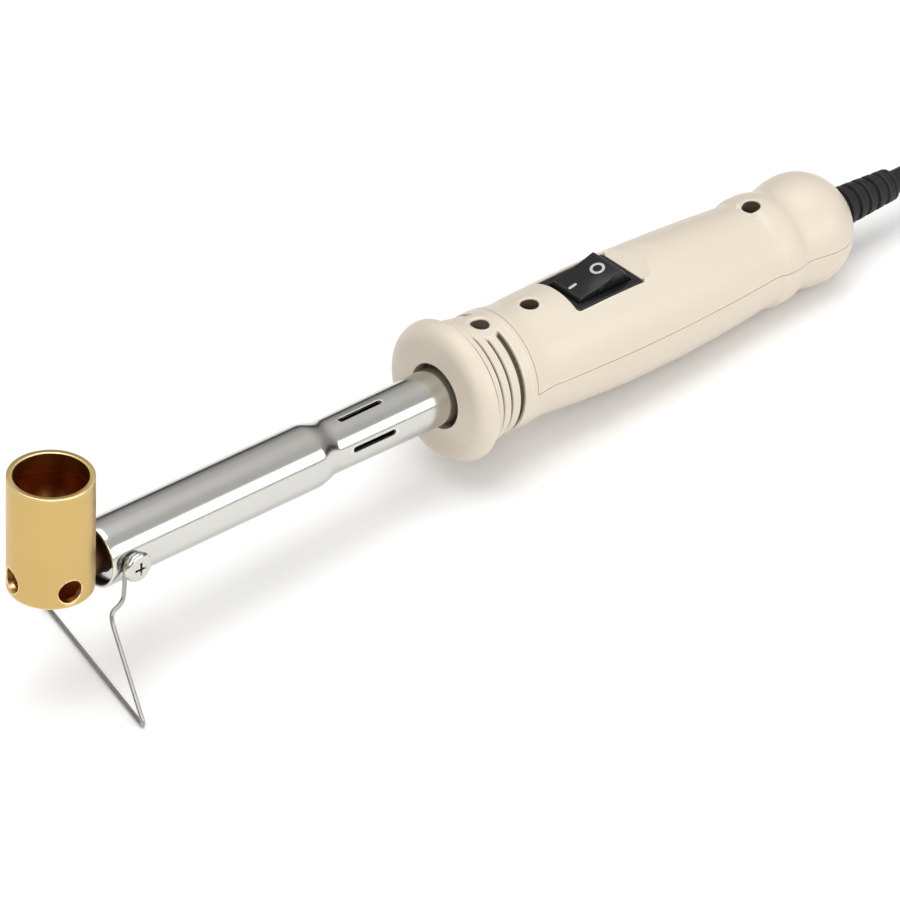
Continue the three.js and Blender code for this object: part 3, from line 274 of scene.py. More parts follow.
def solid(name: str, grid: Array, loop: bool = False) -> bpy.types.Object:
    """Makes a closed mesh from a grid, in layout units.

    The columns close round. The ends are closed with a fan to the middle of the end row, unless
    the rows make a loop themselves. A row of no width becomes the fan's middle.

    Args:
        name: Name of the object.
        grid: Array of rows by columns by 3.
        loop: Whether the last row joins the first.

    Returns:
        The object, linked to the scene.
    """
    grid = np.asarray(grid, float)
    columns = grid.shape[1]
    fans: List[Array] = []
    if loop:
        points = grid.reshape(-1, 3)
        quads = skin_faces(grid.shape[0], columns, True)
    else:
        middles = grid[[0, -1]].mean(axis=1)
        point_like = np.ptp(grid, axis=1).max(axis=1) < 1e-7
        body = grid[~point_like]
        quads = skin_faces(len(body), columns, False)
        points = np.concatenate([body.reshape(-1, 3), middles])
        count = len(body) * columns
        start = np.arange(columns)
        beside = (start + 1) % columns
        last = (len(body) - 1) * columns
        fans = [np.stack([beside, start, np.full(columns, count)], 1),
                np.stack([last + start, last + beside, np.full(columns, count + 1)], 1)]
    triangles = np.concatenate([quads[:, [0, 1, 2]], quads[:, [0, 2, 3]], *fans])
    if volume_sign(points - points.mean(axis=0), triangles) < 0:
        quads, fans = quads[:, ::-1], [fan[:, ::-1] for fan in fans]
    mesh = bpy.data.meshes.new(name)
    faces = quads.tolist() + [face for fan in fans for face in fan.tolist()]
    mesh.from_pydata(points.tolist(), [], faces)
    return linked(name, mesh)


def linked(name: str, mesh: bpy.types.Mesh) -> bpy.types.Object:
    """Puts a mesh into the scene as an object."""
    piece = bpy.data.objects.new(name, mesh)
    bpy.context.scene.collection.objects.link(piece)
    return piece


def settled(piece: bpy.types.Object) -> bpy.types.Object:
    """Turns a piece's modifiers into mesh."""
    evaluated = piece.evaluated_get(bpy.context.evaluated_depsgraph_get())
    mesh = bpy.data.meshes.new_from_object(evaluated)
    piece.modifiers.clear()
    old, piece.data = piece.data, mesh
    mesh.name = old.name
    bpy.data.meshes.remove(old)
    return piece


def carved(piece: bpy.types.Object, tools: Sequence[bpy.types.Object],
           how: Cut = Cut.REMOVE) -> bpy.types.Object:
    """Cuts, keeps or joins with each tool in turn, and clears the tools away.

    Args:
        piece: The solid to work on.
        tools: Closed solids.
        how: What each tool does.

    Returns:
        The same piece.
    """
    for tool in tools:
        work = piece.modifiers.new("work", "BOOLEAN")
        work.operation, work.object, work.solver = how.value, tool, "MANIFOLD"
    settled(piece)
    for tool in tools:
        bpy.data.objects.remove(tool)
    return piece


def block(name: str, low: Sequence[float], high: Sequence[float]) -> bpy.types.Object:
    """Sharp box between two corners, as a tool for cutting."""
    low, high = np.asarray(low, float), np.asarray(high, float)
    centre, half = (low + high) / 2, (high - low) / 2
    corners = np.array([[1, 1], [-1, 1], [-1, -1], [1, -1]]) * half[:2] + centre[:2]
    rows = [np.c_[corners, np.full(4, z)] for z in (low[2], high[2])]
    return solid(name, np.array(rows))


def rod(name: str, radius: float, start: Sequence[float], end: Sequence[float],
        columns: int = 48) -> bpy.types.Object:
    """Straight round bar, as a tool for cutting or a boss."""
    path = np.array([start, end], float)
    return solid(name, swept_grid(path, np.array([radius, radius]), columns))


def flared_tool(name: str, loop: Array, away: Array, surface: Array, floor: Array,
                rim: float, frame_axes: Array, top: float = 4.0) -> bpy.types.Object:
    """Cutter for an opening whose rim is rounded where it breaks the surface.

    Below the surface the walls follow the loop. Over the last stretch they open out on a quarter
    circle of the rim's radius, and then run on at the same slope until they are clear.

    Args:
        name: Name of the tool.
        loop: Points of the opening in its own plane, columns by 2.
        away: Unit direction out of the opening at each point.
        surface: Height of the surface at each point.
        floor: Height of the opening's bottom at each point.
        rim: Radius of the rounded rim.
        frame_axes: Rows are the plane's two axes, its outward axis and its origin.
        top: How far the tool stands above the surface.

    Returns:
        The tool.
    """
    depth = np.array([1.0, 0.75, 0.5, 0.25, 0.08, -0.6]) * rim
    spread = np.array([0.0, 0.032, 0.134, 0.339, 0.608, 1.68]) * rim
    lift = 1e-3 * np.arange(1, len(depth) + 1)[:, None]
    heights = np.maximum(surface[None] - depth[:, None], floor[None] + lift)
    heights = np.concatenate([floor[None], heights, (surface + top)[None]])
    spreads = np.concatenate([[0.0], spread, [spread[-1]]])
    flat = loop[None] + spreads[:, None, None] * away[None]
    u, v, w, origin = frame_axes
    grid = origin + flat[..., :1] * u + flat[..., 1:] * v + heights[..., None] * w
    return solid(name, grid)


def loop_normals(loop: Array) -> Array:
    """Outward unit directions of a closed loop that runs anticlockwise."""
    along = np.roll(loop, -1, axis=0) - np.roll(loop, 1, axis=0)
    out = np.stack([along[:, 1], -along[:, 0]], axis=1)
    return out / np.linalg.norm(out, axis=1, keepdims=True)


def edge_sharpness(mesh: bpy.types.Mesh) -> Array:
    """How tightly the surface turns outwards at each vertex.

    Across each edge the angle between its two faces is divided by the distance between their
    middles, and a vertex takes the greatest of its edges.

    Args:
        mesh: Mesh in metres.

    Returns:
        One value from 0, flat or hollow, to 1, a radius of 0.4 mm or less.
    """
    loops, polygons = len(mesh.loops), len(mesh.polygons)
    edge_of = np.empty(loops, np.int64)
    mesh.loops.foreach_get("edge_index", edge_of)
    totals = np.empty(polygons, np.int64)
    mesh.polygons.foreach_get("loop_total", totals)
    centre, normal = np.empty(polygons * 3), np.empty(polygons * 3)
    mesh.polygons.foreach_get("center", centre)
    mesh.polygons.foreach_get("normal", normal)
    centre, normal = centre.reshape(-1, 3), normal.reshape(-1, 3)
    order = np.argsort(edge_of, kind="stable")
    face_of = np.repeat(np.arange(polygons), totals)[order]
    edge_sorted = edge_of[order]
    pair = np.flatnonzero(edge_sorted[:-1] == edge_sorted[1:])
    first, second = face_of[pair], face_of[pair + 1]
    apart = centre[second] - centre[first]
    distance = np.maximum(np.linalg.norm(apart, axis=1), 5e-5)
    angle = np.arccos(np.clip(np.einsum("ij,ij->i", normal[first], normal[second]), -1, 1))
    hill = np.einsum("ij,ij->i", apart, normal[first]) < 0
    turn = np.where(hill, angle / distance, 0) * 0.0004
    ends = np.empty(len(mesh.edges) * 2, np.int64)
    mesh.edges.foreach_get("vertices", ends)
    ends = ends.reshape(-1, 2)[edge_sorted[pair]]
    value = np.zeros(len(mesh.vertices))
    np.maximum.at(value, ends[:, 0], turn)
    np.maximum.at(value, ends[:, 1], turn)
    return np.clip(value, 0, 1)


def painted(mesh: bpy.types.Mesh, name: str, values: Array) -> None:
    """Writes one number for each vertex under a name that a material can read."""
    mask = mesh.attributes.get(name) or mesh.attributes.new(name, "FLOAT", "POINT")
    mask.data.foreach_set("value", np.asarray(values, np.float32))


# ---------------------------------------------------------------- node groups
class Board:
    """A node tree with short ways to add and join nodes."""

    def __init__(self, tree: bpy.types.NodeTree) -> None:
        """Takes the tree to work on."""
        self.tree = tree

    def add(self, kind: str, settings: Optional[dict] = None, **inputs: object) -> bpy.types.Node:
        """Adds a node.

        Args:
            kind: Blender's name of the node.
            settings: Properties to set on the node.
            inputs: Values or sockets for its inputs. Underscores stand for spaces, and i0, i1 and
                so on for inputs by number.

        Returns:
            The node.
        """
        node = self.tree.nodes.new(kind)
        for key, value in (settings or {}).items():
            setattr(node, key, value)
        for key, value in inputs.items():
            numbered = key[0] == "i" and key[1:].isdigit()
            socket = node.inputs[int(key[1:]) if numbered else key.replace("_", " ")]
            if isinstance(value, bpy.types.NodeSocket):
                self.tree.links.new(value, socket)
            else:
                socket.default_value = value
        return node

    def maths(self, operation: str, first: object, second: object = 0.0,
              clamp: bool = False) -> bpy.types.NodeSocket:
        """Result of a Math node."""
        node = self.add("ShaderNodeMath", {"operation": operation, "use_clamp": clamp},
                        i0=first, i1=second)
        return node.outputs[0]

    def blend(self, share: object, first: object, second: object) -> bpy.types.NodeSocket:
        """Mix of two colours."""
        node = self.add("ShaderNodeMix", {"data_type": "RGBA"})
        for index, value in ((0, share), (6, first), (7, second)):
            if isinstance(value, bpy.types.NodeSocket):
                self.tree.links.new(value, node.inputs[index])
            else:
                node.inputs[index].default_value = \
                    value if index == 0 else (*value, 1.0)
        return node.outputs[2]


def new_group(name: str, inputs: Dict[str, Tuple[str, object]],
              outputs: Dict[str, str]) -> Tuple[Board, bpy.types.Node, bpy.types.Node]:
    """Starts a shader node group.

    Args:
        name: Name of the group.
        inputs: For each input, its kind and default value.
        outputs: For each output, its kind.

    Returns:
        The group's board, its input node and its output node.
    """
    tree = bpy.data.node_groups.new(name, "ShaderNodeTree")
    for label, (kind, default) in inputs.items():
        socket = tree.interface.new_socket(label, in_out="INPUT", socket_type="NodeSocket" + kind)
        socket.default_value = default
    for label, kind in outputs.items():
        tree.interface.new_socket(label, in_out="OUTPUT", socket_type="NodeSocket" + kind)
    return Board(tree), tree.nodes.new("NodeGroupInput"), tree.nodes.new("NodeGroupOutput")


class Effects:
    """The effects that several finishes share, each built once as a node group."""

    def __init__(self) -> None:
        """Builds every group."""
        self.grain = self._grain()
        self.patches = self._patches()
        self.rims = self._rims()
        self.specks = self._specks()

    @staticmethod
    def _grain() -> bpy.types.NodeTree:
        """Grain drawn out along an axis: the part of the place along the axis is scaled by Along,
        the rest by Across, and noise is read there."""
        board, given, result = new_group(
            "drawn_grain",
            {"Axis": ("Vector", (1.0, 0.0, 0.0)), "Along": ("Float", 60.0),
             "Across": ("Float", 3000.0), "Detail": ("Float", 3.0)},
            {"Value": "Float"})
        place = board.add("ShaderNodeTexCoord").outputs["Object"]
        reach = board.add("ShaderNodeVectorMath", {"operation": "DOT_PRODUCT"},
                          i0=place, i1=given.outputs["Axis"]).outputs["Value"]
        wide = board.add("ShaderNodeVectorMath", {"operation": "SCALE"}, i0=place,
                         Scale=given.outputs["Across"]).outputs[0]
        surplus = board.maths("SUBTRACT", given.outputs["Along"], given.outputs["Across"])
        extra = board.maths("MULTIPLY", reach, surplus)
        shift = board.add("ShaderNodeVectorMath", {"operation": "SCALE"},
                          i0=given.outputs["Axis"], Scale=extra).outputs[0]
        spot = board.add("ShaderNodeVectorMath", {"operation": "ADD"}, i0=wide, i1=shift).outputs[0]
        noise = board.add("ShaderNodeTexNoise", {"noise_dimensions": "3D"}, Vector=spot, Scale=1.0,
                          Detail=given.outputs["Detail"], Roughness=0.55)
        board.tree.links.new(noise.outputs[0], result.inputs["Value"])
        return board.tree

    @staticmethod
    def _patches() -> bpy.types.NodeTree:
        """Soft patches: noise whose middle range is stretched to fill 0 to 1."""
        board, given, result = new_group(
            "soft_patches", {"Scale": ("Float", 40.0), "Contrast": ("Float", 0.25)},
            {"Mask": "Float"})
        place = board.add("ShaderNodeTexCoord").outputs["Object"]
        noise = board.add("ShaderNodeTexNoise", {"noise_dimensions": "3D"}, Vector=place,
                          Scale=given.outputs["Scale"], Detail=4.0, Roughness=0.5)
        low = board.maths("SUBTRACT", 0.5, given.outputs["Contrast"])
        high = board.maths("ADD", 0.5, given.outputs["Contrast"])
        spread = board.add("ShaderNodeMapRange", {"interpolation_type": "SMOOTHSTEP"},
                           i0=noise.outputs[0], i1=low, i2=high)
        board.tree.links.new(spread.outputs[0], result.inputs["Mask"])
        return board.tree

    @staticmethod
    def _rims() -> bpy.types.NodeTree:
        """Lighter rims, for rubbed edges and painted highlight: the sharpness painted on the mesh,
        thinned where the noise is low.
        """
        board, given, result = new_group(
            "worn_and_highlit_rims", {"Amount": ("Float", 0.6), "Scale": ("Float", 500.0)}, {"Mask": "Float"})
        place = board.add("ShaderNodeTexCoord").outputs["Object"]
        sharp = board.add("ShaderNodeAttribute", {"attribute_name": "rim"}).outputs["Fac"]
        noise = board.add("ShaderNodeTexNoise", {"noise_dimensions": "3D"}, Vector=place,
                          Scale=given.outputs["Scale"], Detail=2.0)
        broken = board.maths("ADD", board.maths("MULTIPLY", noise.outputs[0], 0.8), 0.6)
        worn_and_highlit = board.maths("MULTIPLY", board.maths("MULTIPLY", sharp, broken),
                           given.outputs["Amount"], True)
        board.tree.links.new(worn_and_highlit, result.inputs["Mask"])
        return board.tree

    @staticmethod
    def _specks() -> bpy.types.NodeTree:
        """Fine moulded texture: close round pits on a soft noise."""
        board, given, result = new_group(
            "moulded_specks", {"Scale": ("Float", 2500.0)}, {"Height": "Float"})
        place = board.add("ShaderNodeTexCoord").outputs["Object"]
        cells = board.add("ShaderNodeTexVoronoi", {"feature": "SMOOTH_F1"}, Vector=place,
                          Scale=given.outputs["Scale"], Smoothness=0.6)
        noise = board.add("ShaderNodeTexNoise", {"noise_dimensions": "3D"}, Vector=place,
                          Scale=board.maths("MULTIPLY", given.outputs["Scale"], 0.4), Detail=3.0)
        both = board.maths("ADD", board.maths("MULTIPLY", cells.outputs[0], 0.6),
                           board.maths("MULTIPLY", noise.outputs[0], 0.6))
        board.tree.links.new(both, result.inputs["Height"])
        return board.tree


# ---------------------------------------------------------------- finishes
class Grain(Enum):
    """How a finish's fine texture runs."""

    MOULDED = "moulded"
    TURNED = "turned"
    DRAWN = "drawn"
    CAST = "cast"


@dataclass(frozen=True)
class Finish:
    """One surface finish and the numbers that set it apart.

    Attributes:
        name: Name of the material.
        colour: Main colour.
        drift: Colour that soft patches lean to.
        rim: Colour of sharp edges, lighter for rubbed edges and painted highlight.
        roughness: Middle roughness.
        spread: How far the roughness varies.
        metallic: 1 on bare metal.
        grain: Run of the fine texture.
        depth: Height of the fine texture, in metres.
        scale: Size of the fine texture, per metre.
        patch: Size of the patches, per metre.
        lean: How much of the drift colour shows.
        rim_wear_and_highlight: How much the lighter rims show, as rubbed edges and painted highlight.
        axis: Layout direction that a turned or drawn grain follows.
        coat: Weight of a clear gloss.
        stain_and_shade: Colour of the painted mask named stain, if the finish has one. On the grip,
            the
        barrel and the tip screws it is painted shade in hollows.
        stain_and_shade_rough: Roughness on the stain.
        specular: The shader's specular level.
        anisotropic: How far the highlights are drawn out.
    """

    name: str
    colour: Colour
    drift: Colour
    rim: Colour
    roughness: float
    spread: float = 0.08
    metallic: float = 0.0
    grain: Grain = Grain.MOULDED
    depth: float = 2e-6
    scale: float = 2500.0
    patch: float = 45.0
    lean: float = 0.5
    rim_wear_and_highlight: float = 0.5
    axis: Tuple[float, float, float] = (1.0, 0.0, 0.0)
    coat: float = 0.0
    stain_and_shade: Optional[Colour] = None
    stain_and_shade_rough: float = 0.5
    specular: float = 0.5
    anisotropic: float = 0.0

    def made(self, effects: Effects, layout: Layout) -> bpy.types.Material:
        """Builds the material.

        The base colour leans to the drift colour in soft patches and to the rim colour on sharp
        edges, a painted highlight with rubbed edges. The grain moves the roughness a little and gives
        the bump its height.

        Args:
            effects: The shared node groups.
            layout: Turns the grain's axis onto the bench.

        Returns:
            The material.
        """
        material = bpy.data.materials.new(self.name)
        material.use_nodes = True
        material.node_tree.nodes.clear()
        board = Board(material.node_tree)
        output = board.add("ShaderNodeOutputMaterial")
        shader = board.add("ShaderNodeBsdfPrincipled")
        board.tree.links.new(shader.outputs[0], output.inputs["Surface"])
        shader.inputs["Specular IOR Level"].default_value = self.specular
        shader.inputs["Anisotropic"].default_value = self.anisotropic
        patches = board.add("ShaderNodeGroup", {"node_tree": effects.patches}, Scale=self.patch)
        rims = board.add("ShaderNodeGroup", {"node_tree": effects.rims}, Amount=self.rim_wear_and_highlight)
        mask = patches.outputs["Mask"]
        colour = board.blend(board.maths("MULTIPLY", mask, self.lean), self.colour, self.drift)
        texture = self._texture(board, effects, layout)
        rough = board.maths("ADD", board.maths("MULTIPLY", texture, self.spread),
                            self.roughness - self.spread / 2)
        # The stain mask darkens the colour; on the grip, barrel and tip screws it is painted shade in
        # hollows.
        if self.stain_and_shade is not None:
            stained = board.add("ShaderNodeAttribute", {"attribute_name": "stain_and_shade"}).outputs["Fac"]
            cloud = board.maths("ADD", board.maths("MULTIPLY", texture, 0.5), 0.75)
            share = board.maths("MULTIPLY", stained, cloud, True)
            colour = board.blend(share, colour, self.stain_and_shade)
            rough = board.maths("ADD", rough,
                                board.maths("MULTIPLY", share, self.stain_and_shade_rough - self.roughness))
        # Sharp edges lean to the lighter rim colour: painted highlight and rubbed edges.
        colour = board.blend(rims.outputs["Mask"], colour, self.rim)
        bump = board.add("ShaderNodeBump", Strength=0.6, Distance=self.depth, Height=texture)
        links = {"Base Color": colour, "Roughness": rough, "Normal": bump.outputs[0]}
        for label, socket in links.items():
            board.tree.links.new(socket, shader.inputs[label])
        shader.inputs["Metallic"].default_value = self.metallic
        shader.inputs["Coat Weight"].default_value = self.coat
        shader.inputs["Coat Roughness"].default_value = 0.12
        return material

    def _texture(self, board: Board, effects: Effects, layout: Layout) -> bpy.types.NodeSocket:
        """The fine texture's value from 0 to 1."""
        if self.grain in (Grain.MOULDED, Grain.CAST):
            coarse = self.scale if self.grain is Grain.MOULDED else self.scale * 0.35
            node = board.add("ShaderNodeGroup", {"node_tree": effects.specks}, Scale=coarse)
            return node.outputs["Height"]
        axis = tuple(float(v) for v in layout.turned(np.array(self.axis)))
        along, across = (self.scale, 30.0) if self.grain is Grain.TURNED else (30.0, self.scale)
        node = board.add("ShaderNodeGroup", {"node_tree": effects.grain}, Axis=axis, Along=along,
                         Across=across)
        return node.outputs["Value"]


# Each finish's third colour is its lighter rim colour: painted highlight on sharp edges, with rubbed
# edges.
UPRIGHT = (0.0, 0.0, 1.0)
# The cream's stain colour is painted shade in the grip's grooves, screw holes and bore.
CREAM = Finish("cream_moulding", (0.615, 0.545, 0.452), (0.58, 0.505, 0.41), (0.76, 0.70, 0.61),
               0.36, spread=0.1, depth=3e-6, scale=2600, lean=0.35, rim_wear_and_highlight=0.55,
               stain_and_shade=(0.075, 0.052, 0.032), stain_and_shade_rough=0.6, specular=0.45)
BRASS = Finish("satin_brass", (0.58, 0.40, 0.15), (0.52, 0.35, 0.12), (0.93, 0.76, 0.42), 0.32,
               spread=0.1, metallic=1.0, grain=Grain.TURNED, depth=7e-7, scale=5200, lean=0.35,
               rim_wear_and_highlight=0.8, axis=UPRIGHT, stain_and_shade=(0.42, 0.11, 0.02), stain_and_shade_rough=0.24, anisotropic=0.7)
DARK_BRASS = Finish("scorched_brass", (0.16, 0.075, 0.035), (0.08, 0.035, 0.02), (0.35, 0.2, 0.1),
                    0.42, spread=0.2, metallic=1.0, grain=Grain.DRAWN, depth=4e-6, scale=2600,
                    lean=0.8)
# The steel's stain colour is painted shade on the inside of the barrel.
STEEL = Finish("polished_steel", (0.60, 0.59, 0.56), (0.53, 0.52, 0.49), (0.86, 0.86, 0.85), 0.16,
               spread=0.08, metallic=1.0, grain=Grain.DRAWN, depth=1e-6, scale=5200, lean=0.45,
               rim_wear_and_highlight=0.5, stain_and_shade=(0.05, 0.045, 0.04), stain_and_shade_rough=0.5)
# The nickel's stain colour is painted shade deep in the tip screws' cross recesses.
NICKEL = Finish("bright_nickel", (0.60, 0.585, 0.55), (0.50, 0.485, 0.45), (0.9, 0.89, 0.86), 0.2,
                spread=0.1, metallic=1.0, grain=Grain.TURNED, depth=1.5e-6, scale=4200, lean=0.4,
                axis=(0.0, 1.0, 0.0), stain_and_shade=(0.06, 0.055, 0.05), stain_and_shade_rough=0.5)
SPRING = Finish("spring_wire", (0.30, 0.29, 0.275), (0.22, 0.21, 0.20), (0.5, 0.49, 0.47), 0.28,
                spread=0.14, metallic=1.0, grain=Grain.CAST, depth=3e-6, scale=3600, lean=0.6)
ZINC = Finish("zinc_screws", (0.50, 0.50, 0.49), (0.38, 0.38, 0.38), (0.7, 0.7, 0.7), 0.33,
              metallic=1.0, grain=Grain.TURNED, scale=4200, axis=UPRIGHT)
INNER_BRASS = Finish("stamped_brass", (0.74, 0.52, 0.22), (0.62, 0.42, 0.17), (0.9, 0.72, 0.4), 0.3,
                     metallic=1.0, grain=Grain.DRAWN, scale=3600, axis=UPRIGHT)
BLACK = Finish("satin_black", (0.007, 0.007, 0.008), (0.012, 0.012, 0.013), (0.05, 0.05, 0.052),
               0.26, spread=0.12, depth=2e-6, scale=3000, lean=0.5, rim_wear_and_highlight=0.5, specular=0.26)
RUBBER = Finish("black_rubber", (0.011, 0.011, 0.012), (0.020, 0.019, 0.018), (0.045, 0.045, 0.045),
                0.5, spread=0.2, depth=6e-6, scale=2200, lean=0.6, rim_wear_and_highlight=0.5, specular=0.25)
CORD_SKIN = Finish("cord_skin", (0.010, 0.010, 0.011), (0.016, 0.016, 0.016), (0.04, 0.04, 0.04),
                   0.38, spread=0.15, depth=5e-6, scale=1800, lean=0.5, rim_wear_and_highlight=0.2, specular=0.25)
MARK = Finish("mark_paint", (0.46, 0.46, 0.45), (0.38, 0.38, 0.37), (0.5, 0.5, 0.5), 0.45,
              depth=3e-6, scale=5200, lean=0.4, rim_wear_and_highlight=0.1)
CERAMIC = Finish("bare_ceramic", (0.80, 0.76, 0.67), (0.70, 0.64, 0.54), (0.86, 0.83, 0.76), 0.75,
                 grain=Grain.CAST, depth=2e-5, scale=3200, lean=0.6)
MICA = Finish("mica_sheet", (0.52, 0.40, 0.22), (0.34, 0.24, 0.12), (0.7, 0.6, 0.4), 0.3,
              grain=Grain.CAST, depth=1e-5, scale=1500, lean=0.8, coat=0.4)
WINDING = Finish("oxidised_winding", (0.36, 0.22, 0.13), (0.18, 0.12, 0.10), (0.6, 0.4, 0.28), 0.42,
                 metallic=1.0, grain=Grain.TURNED, depth=1e-5, scale=2600)
FIBRE = Finish("pressed_fibre", (0.30, 0.16, 0.09), (0.22, 0.11, 0.06), (0.4, 0.25, 0.15), 0.8,
               grain=Grain.CAST, depth=2e-5, scale=4200, lean=0.7)
BROWN = Finish("brown_sleeving", (0.16, 0.06, 0.025), (0.11, 0.04, 0.02), (0.25, 0.12, 0.06), 0.45,
               depth=5e-6)
BLUE = Finish("blue_sleeving", (0.03, 0.10, 0.34), (0.02, 0.07, 0.25), (0.1, 0.2, 0.5), 0.45,
              depth=5e-6)


# ---------------------------------------------------------------- workshop
@dataclass
class Workshop:
    """What every sub-assembly needs to finish its pieces."""

    layout: Layout
    effects: Effects
    materials: Dict[str, bpy.types.Material] = field(default_factory=dict)

    def material(self, finish: Finish) -> bpy.types.Material:
        """The material of a finish, made when it is first asked for."""
        if finish.name not in self.materials:
            self.materials[finish.name] = finish.made(self.effects, self.layout)
        return self.materials[finish.name]

    def fitted(self, piece: bpy.types.Object, finish: Finish, body: str,
               nodes: Sequence[str], sharp: float = 32.0,
               masks: Optional[Dict[str, Painter]] = None,
               laid_out: bool = True) -> bpy.types.Object:
        """Finishes a piece: places it, shades it, dresses it and ties it to its body.

        Args:
            piece: The piece, still in the layout.
            finish: Its finish.
            body: CAD body that it moves with.
            nodes: CAD nodes that it stands for.
            sharp: Angle past which an edge is shaded sharp, in degrees.
            masks: Painters of extra masks, each from layout points to values.
            laid_out: False for a piece already in place on the bench, in metres.

        Returns:
            The piece.
        """
        mesh = piece.data
        points = np.empty(len(mesh.vertices) * 3)
        mesh.vertices.foreach_get("co", points)
        points = points.reshape(-1, 3)
        for name, painter in (masks or {}).items():
            painted(mesh, name, painter(points))
        if laid_out:
            mesh.vertices.foreach_set("co", self.layout.placed(points).ravel())
        mesh.update()
        # The rim mask marks sharp outward edges, which the finishes lighten as painted highlight.
        painted(mesh, "rim", edge_sharpness(mesh))
        mesh.shade_smooth()
        mesh.set_sharp_from_angle(angle=math.radians(sharp))
        mesh.materials.clear()
        mesh.materials.append(self.material(finish))
        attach(piece, body)
        if nodes:
            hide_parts(*nodes)
        LOG.info("%s: %d faces on %s", piece.name, len(mesh.polygons), body)
        return piece


# ---------------------------------------------------------------- cup and shank
@dataclass
class CupHead:
    """Brass cup with three vents, and the dark shank that carries it."""

    outer: float = 10.25
    bore: float = 8.75
    bottom: float = -2.6
    height: float = 30.5
    floor: float = 1.2
    foot_round: float = 0.5
    lip_round: float = 0.32
    floor_round: float = 0.9
    vent: float = 2.9
    vent_turn: float = math.radians(-12)
    shank: float = 4.5
    stud: float = 1.3
    shank_rear: float = 34.0
    shank_round: float = 0.4
    gap: float = 0.3
    columns: int = 160

    def profile(self) -> Array:
        """Half section from the outside bottom to the inside floor, with quarter-round corners."""
        top = self.bottom + self.height
        inside = self.bottom + self.floor
        turn = quarter_turn(7)
        foot = np.c_[self.bottom + self.foot_round * (1 - np.sin(math.pi / 2 - turn)),
                     self.outer - self.foot_round * (1 - np.sin(turn))]
        lip = self.lip_round
        outer_lip = np.c_[top - lip + lip * np.sin(turn), self.outer - lip + lip * np.cos(turn)]
        inner_lip = np.c_[top - lip + lip * np.cos(turn), self.bore + lip - lip * np.sin(turn)]
        deep = self.floor_round
        inner_foot = np.c_[inside + deep - deep * np.sin(turn),
                           self.bore - deep + deep * np.cos(turn)]
        wall = np.c_[np.linspace(self.bottom + 1.5, top - 1.0, 36), np.full(36, self.outer)]
        bore = np.c_[np.linspace(top - 1.0, inside + 1.8, 30), np.full(30, self.bore)]
        return np.concatenate([[[self.bottom, 0]], [[self.bottom, 6.0]], foot, wall, outer_lip,
                               inner_lip, bore, inner_foot, [[inside, 4.0]], [[inside, 0]]])

    def vent_tool(self, angle: float) -> bpy.types.Object:
        """Round cutter through the wall: across the vent the wall's height is that of a circle."""
        loop = self.vent * np.stack([np.cos(ring_angles(64)), np.sin(ring_angles(64))], 1)
        surface = np.sqrt(self.outer ** 2 - loop[:, 0] ** 2)
        out = np.array([math.cos(angle), math.sin(angle), 0.0])
        side = np.cross(UPRIGHT, out)
        middle = self.bottom + self.floor + self.vent + 0.2
        axes = np.array([side, UPRIGHT, out, [0, 0, middle]])
        return flared_tool("vent", loop, loop / self.vent, surface, np.full(64, 5.0), 0.3, axes)

    def stain_and_shade(self, points: Array) -> Array:
        """Up to 0.75 inside the bore, deepest low down, and 0 outside."""
        radius = np.hypot(points[:, 0], points[:, 1])
        top = self.bottom + self.height
        inside = (radius < self.bore + 0.12) & (points[:, 2] > self.bottom + 0.6)
        return np.where(inside, 0.75 * smooth(top - points[:, 2], 0.0, 7.0), 0.0)

    def build(self, shop: Workshop) -> None:
        """Makes the cup and its shank."""
        cup = solid("brass_cup", upright_grid(self.profile(), self.columns))
        tools = [self.vent_tool(self.vent_turn + quarter * math.pi / 2) for quarter in (1, 2, 3)]
        tools.append(rod("stud_hole", self.stud + self.gap, (self.bore - 0.8, 0, 0),
                         (self.outer + 1, 0, 0)))
        shop.fitted(carved(cup, tools), BRASS, "tip", ["cup_head"],
                    masks={"stain_and_shade": self.stain_and_shade})
        turn = quarter_turn(6)
        edge = self.shank_round
        end = np.c_[self.shank_rear - edge + edge * np.sin(turn),
                    self.shank - edge + edge * np.cos(turn)]
        start = self.outer - 2.2
        body = np.concatenate([[[start, 0], [start, self.shank]],
                               np.c_[np.linspace(start + 1, 33, 24), np.full(24, self.shank)],
                               end, [[self.shank_rear, 0]]])
        shank = solid("cup_shank", turned_grid(body, 72))
        saddle = solid("saddle", upright_grid(
            np.array([[-12, 0], [-12, self.outer + self.gap / 2], [12, self.outer + self.gap / 2],
                      [12, 0]]), self.columns))
        carved(shank, [saddle])
        carved(shank, [rod("stud", self.stud, (self.bore + 0.1, 0, 0), (self.outer + 2, 0, 0))],
               Cut.ADD)
        shop.fitted(shank, DARK_BRASS, "tip", ["tip_shank"])


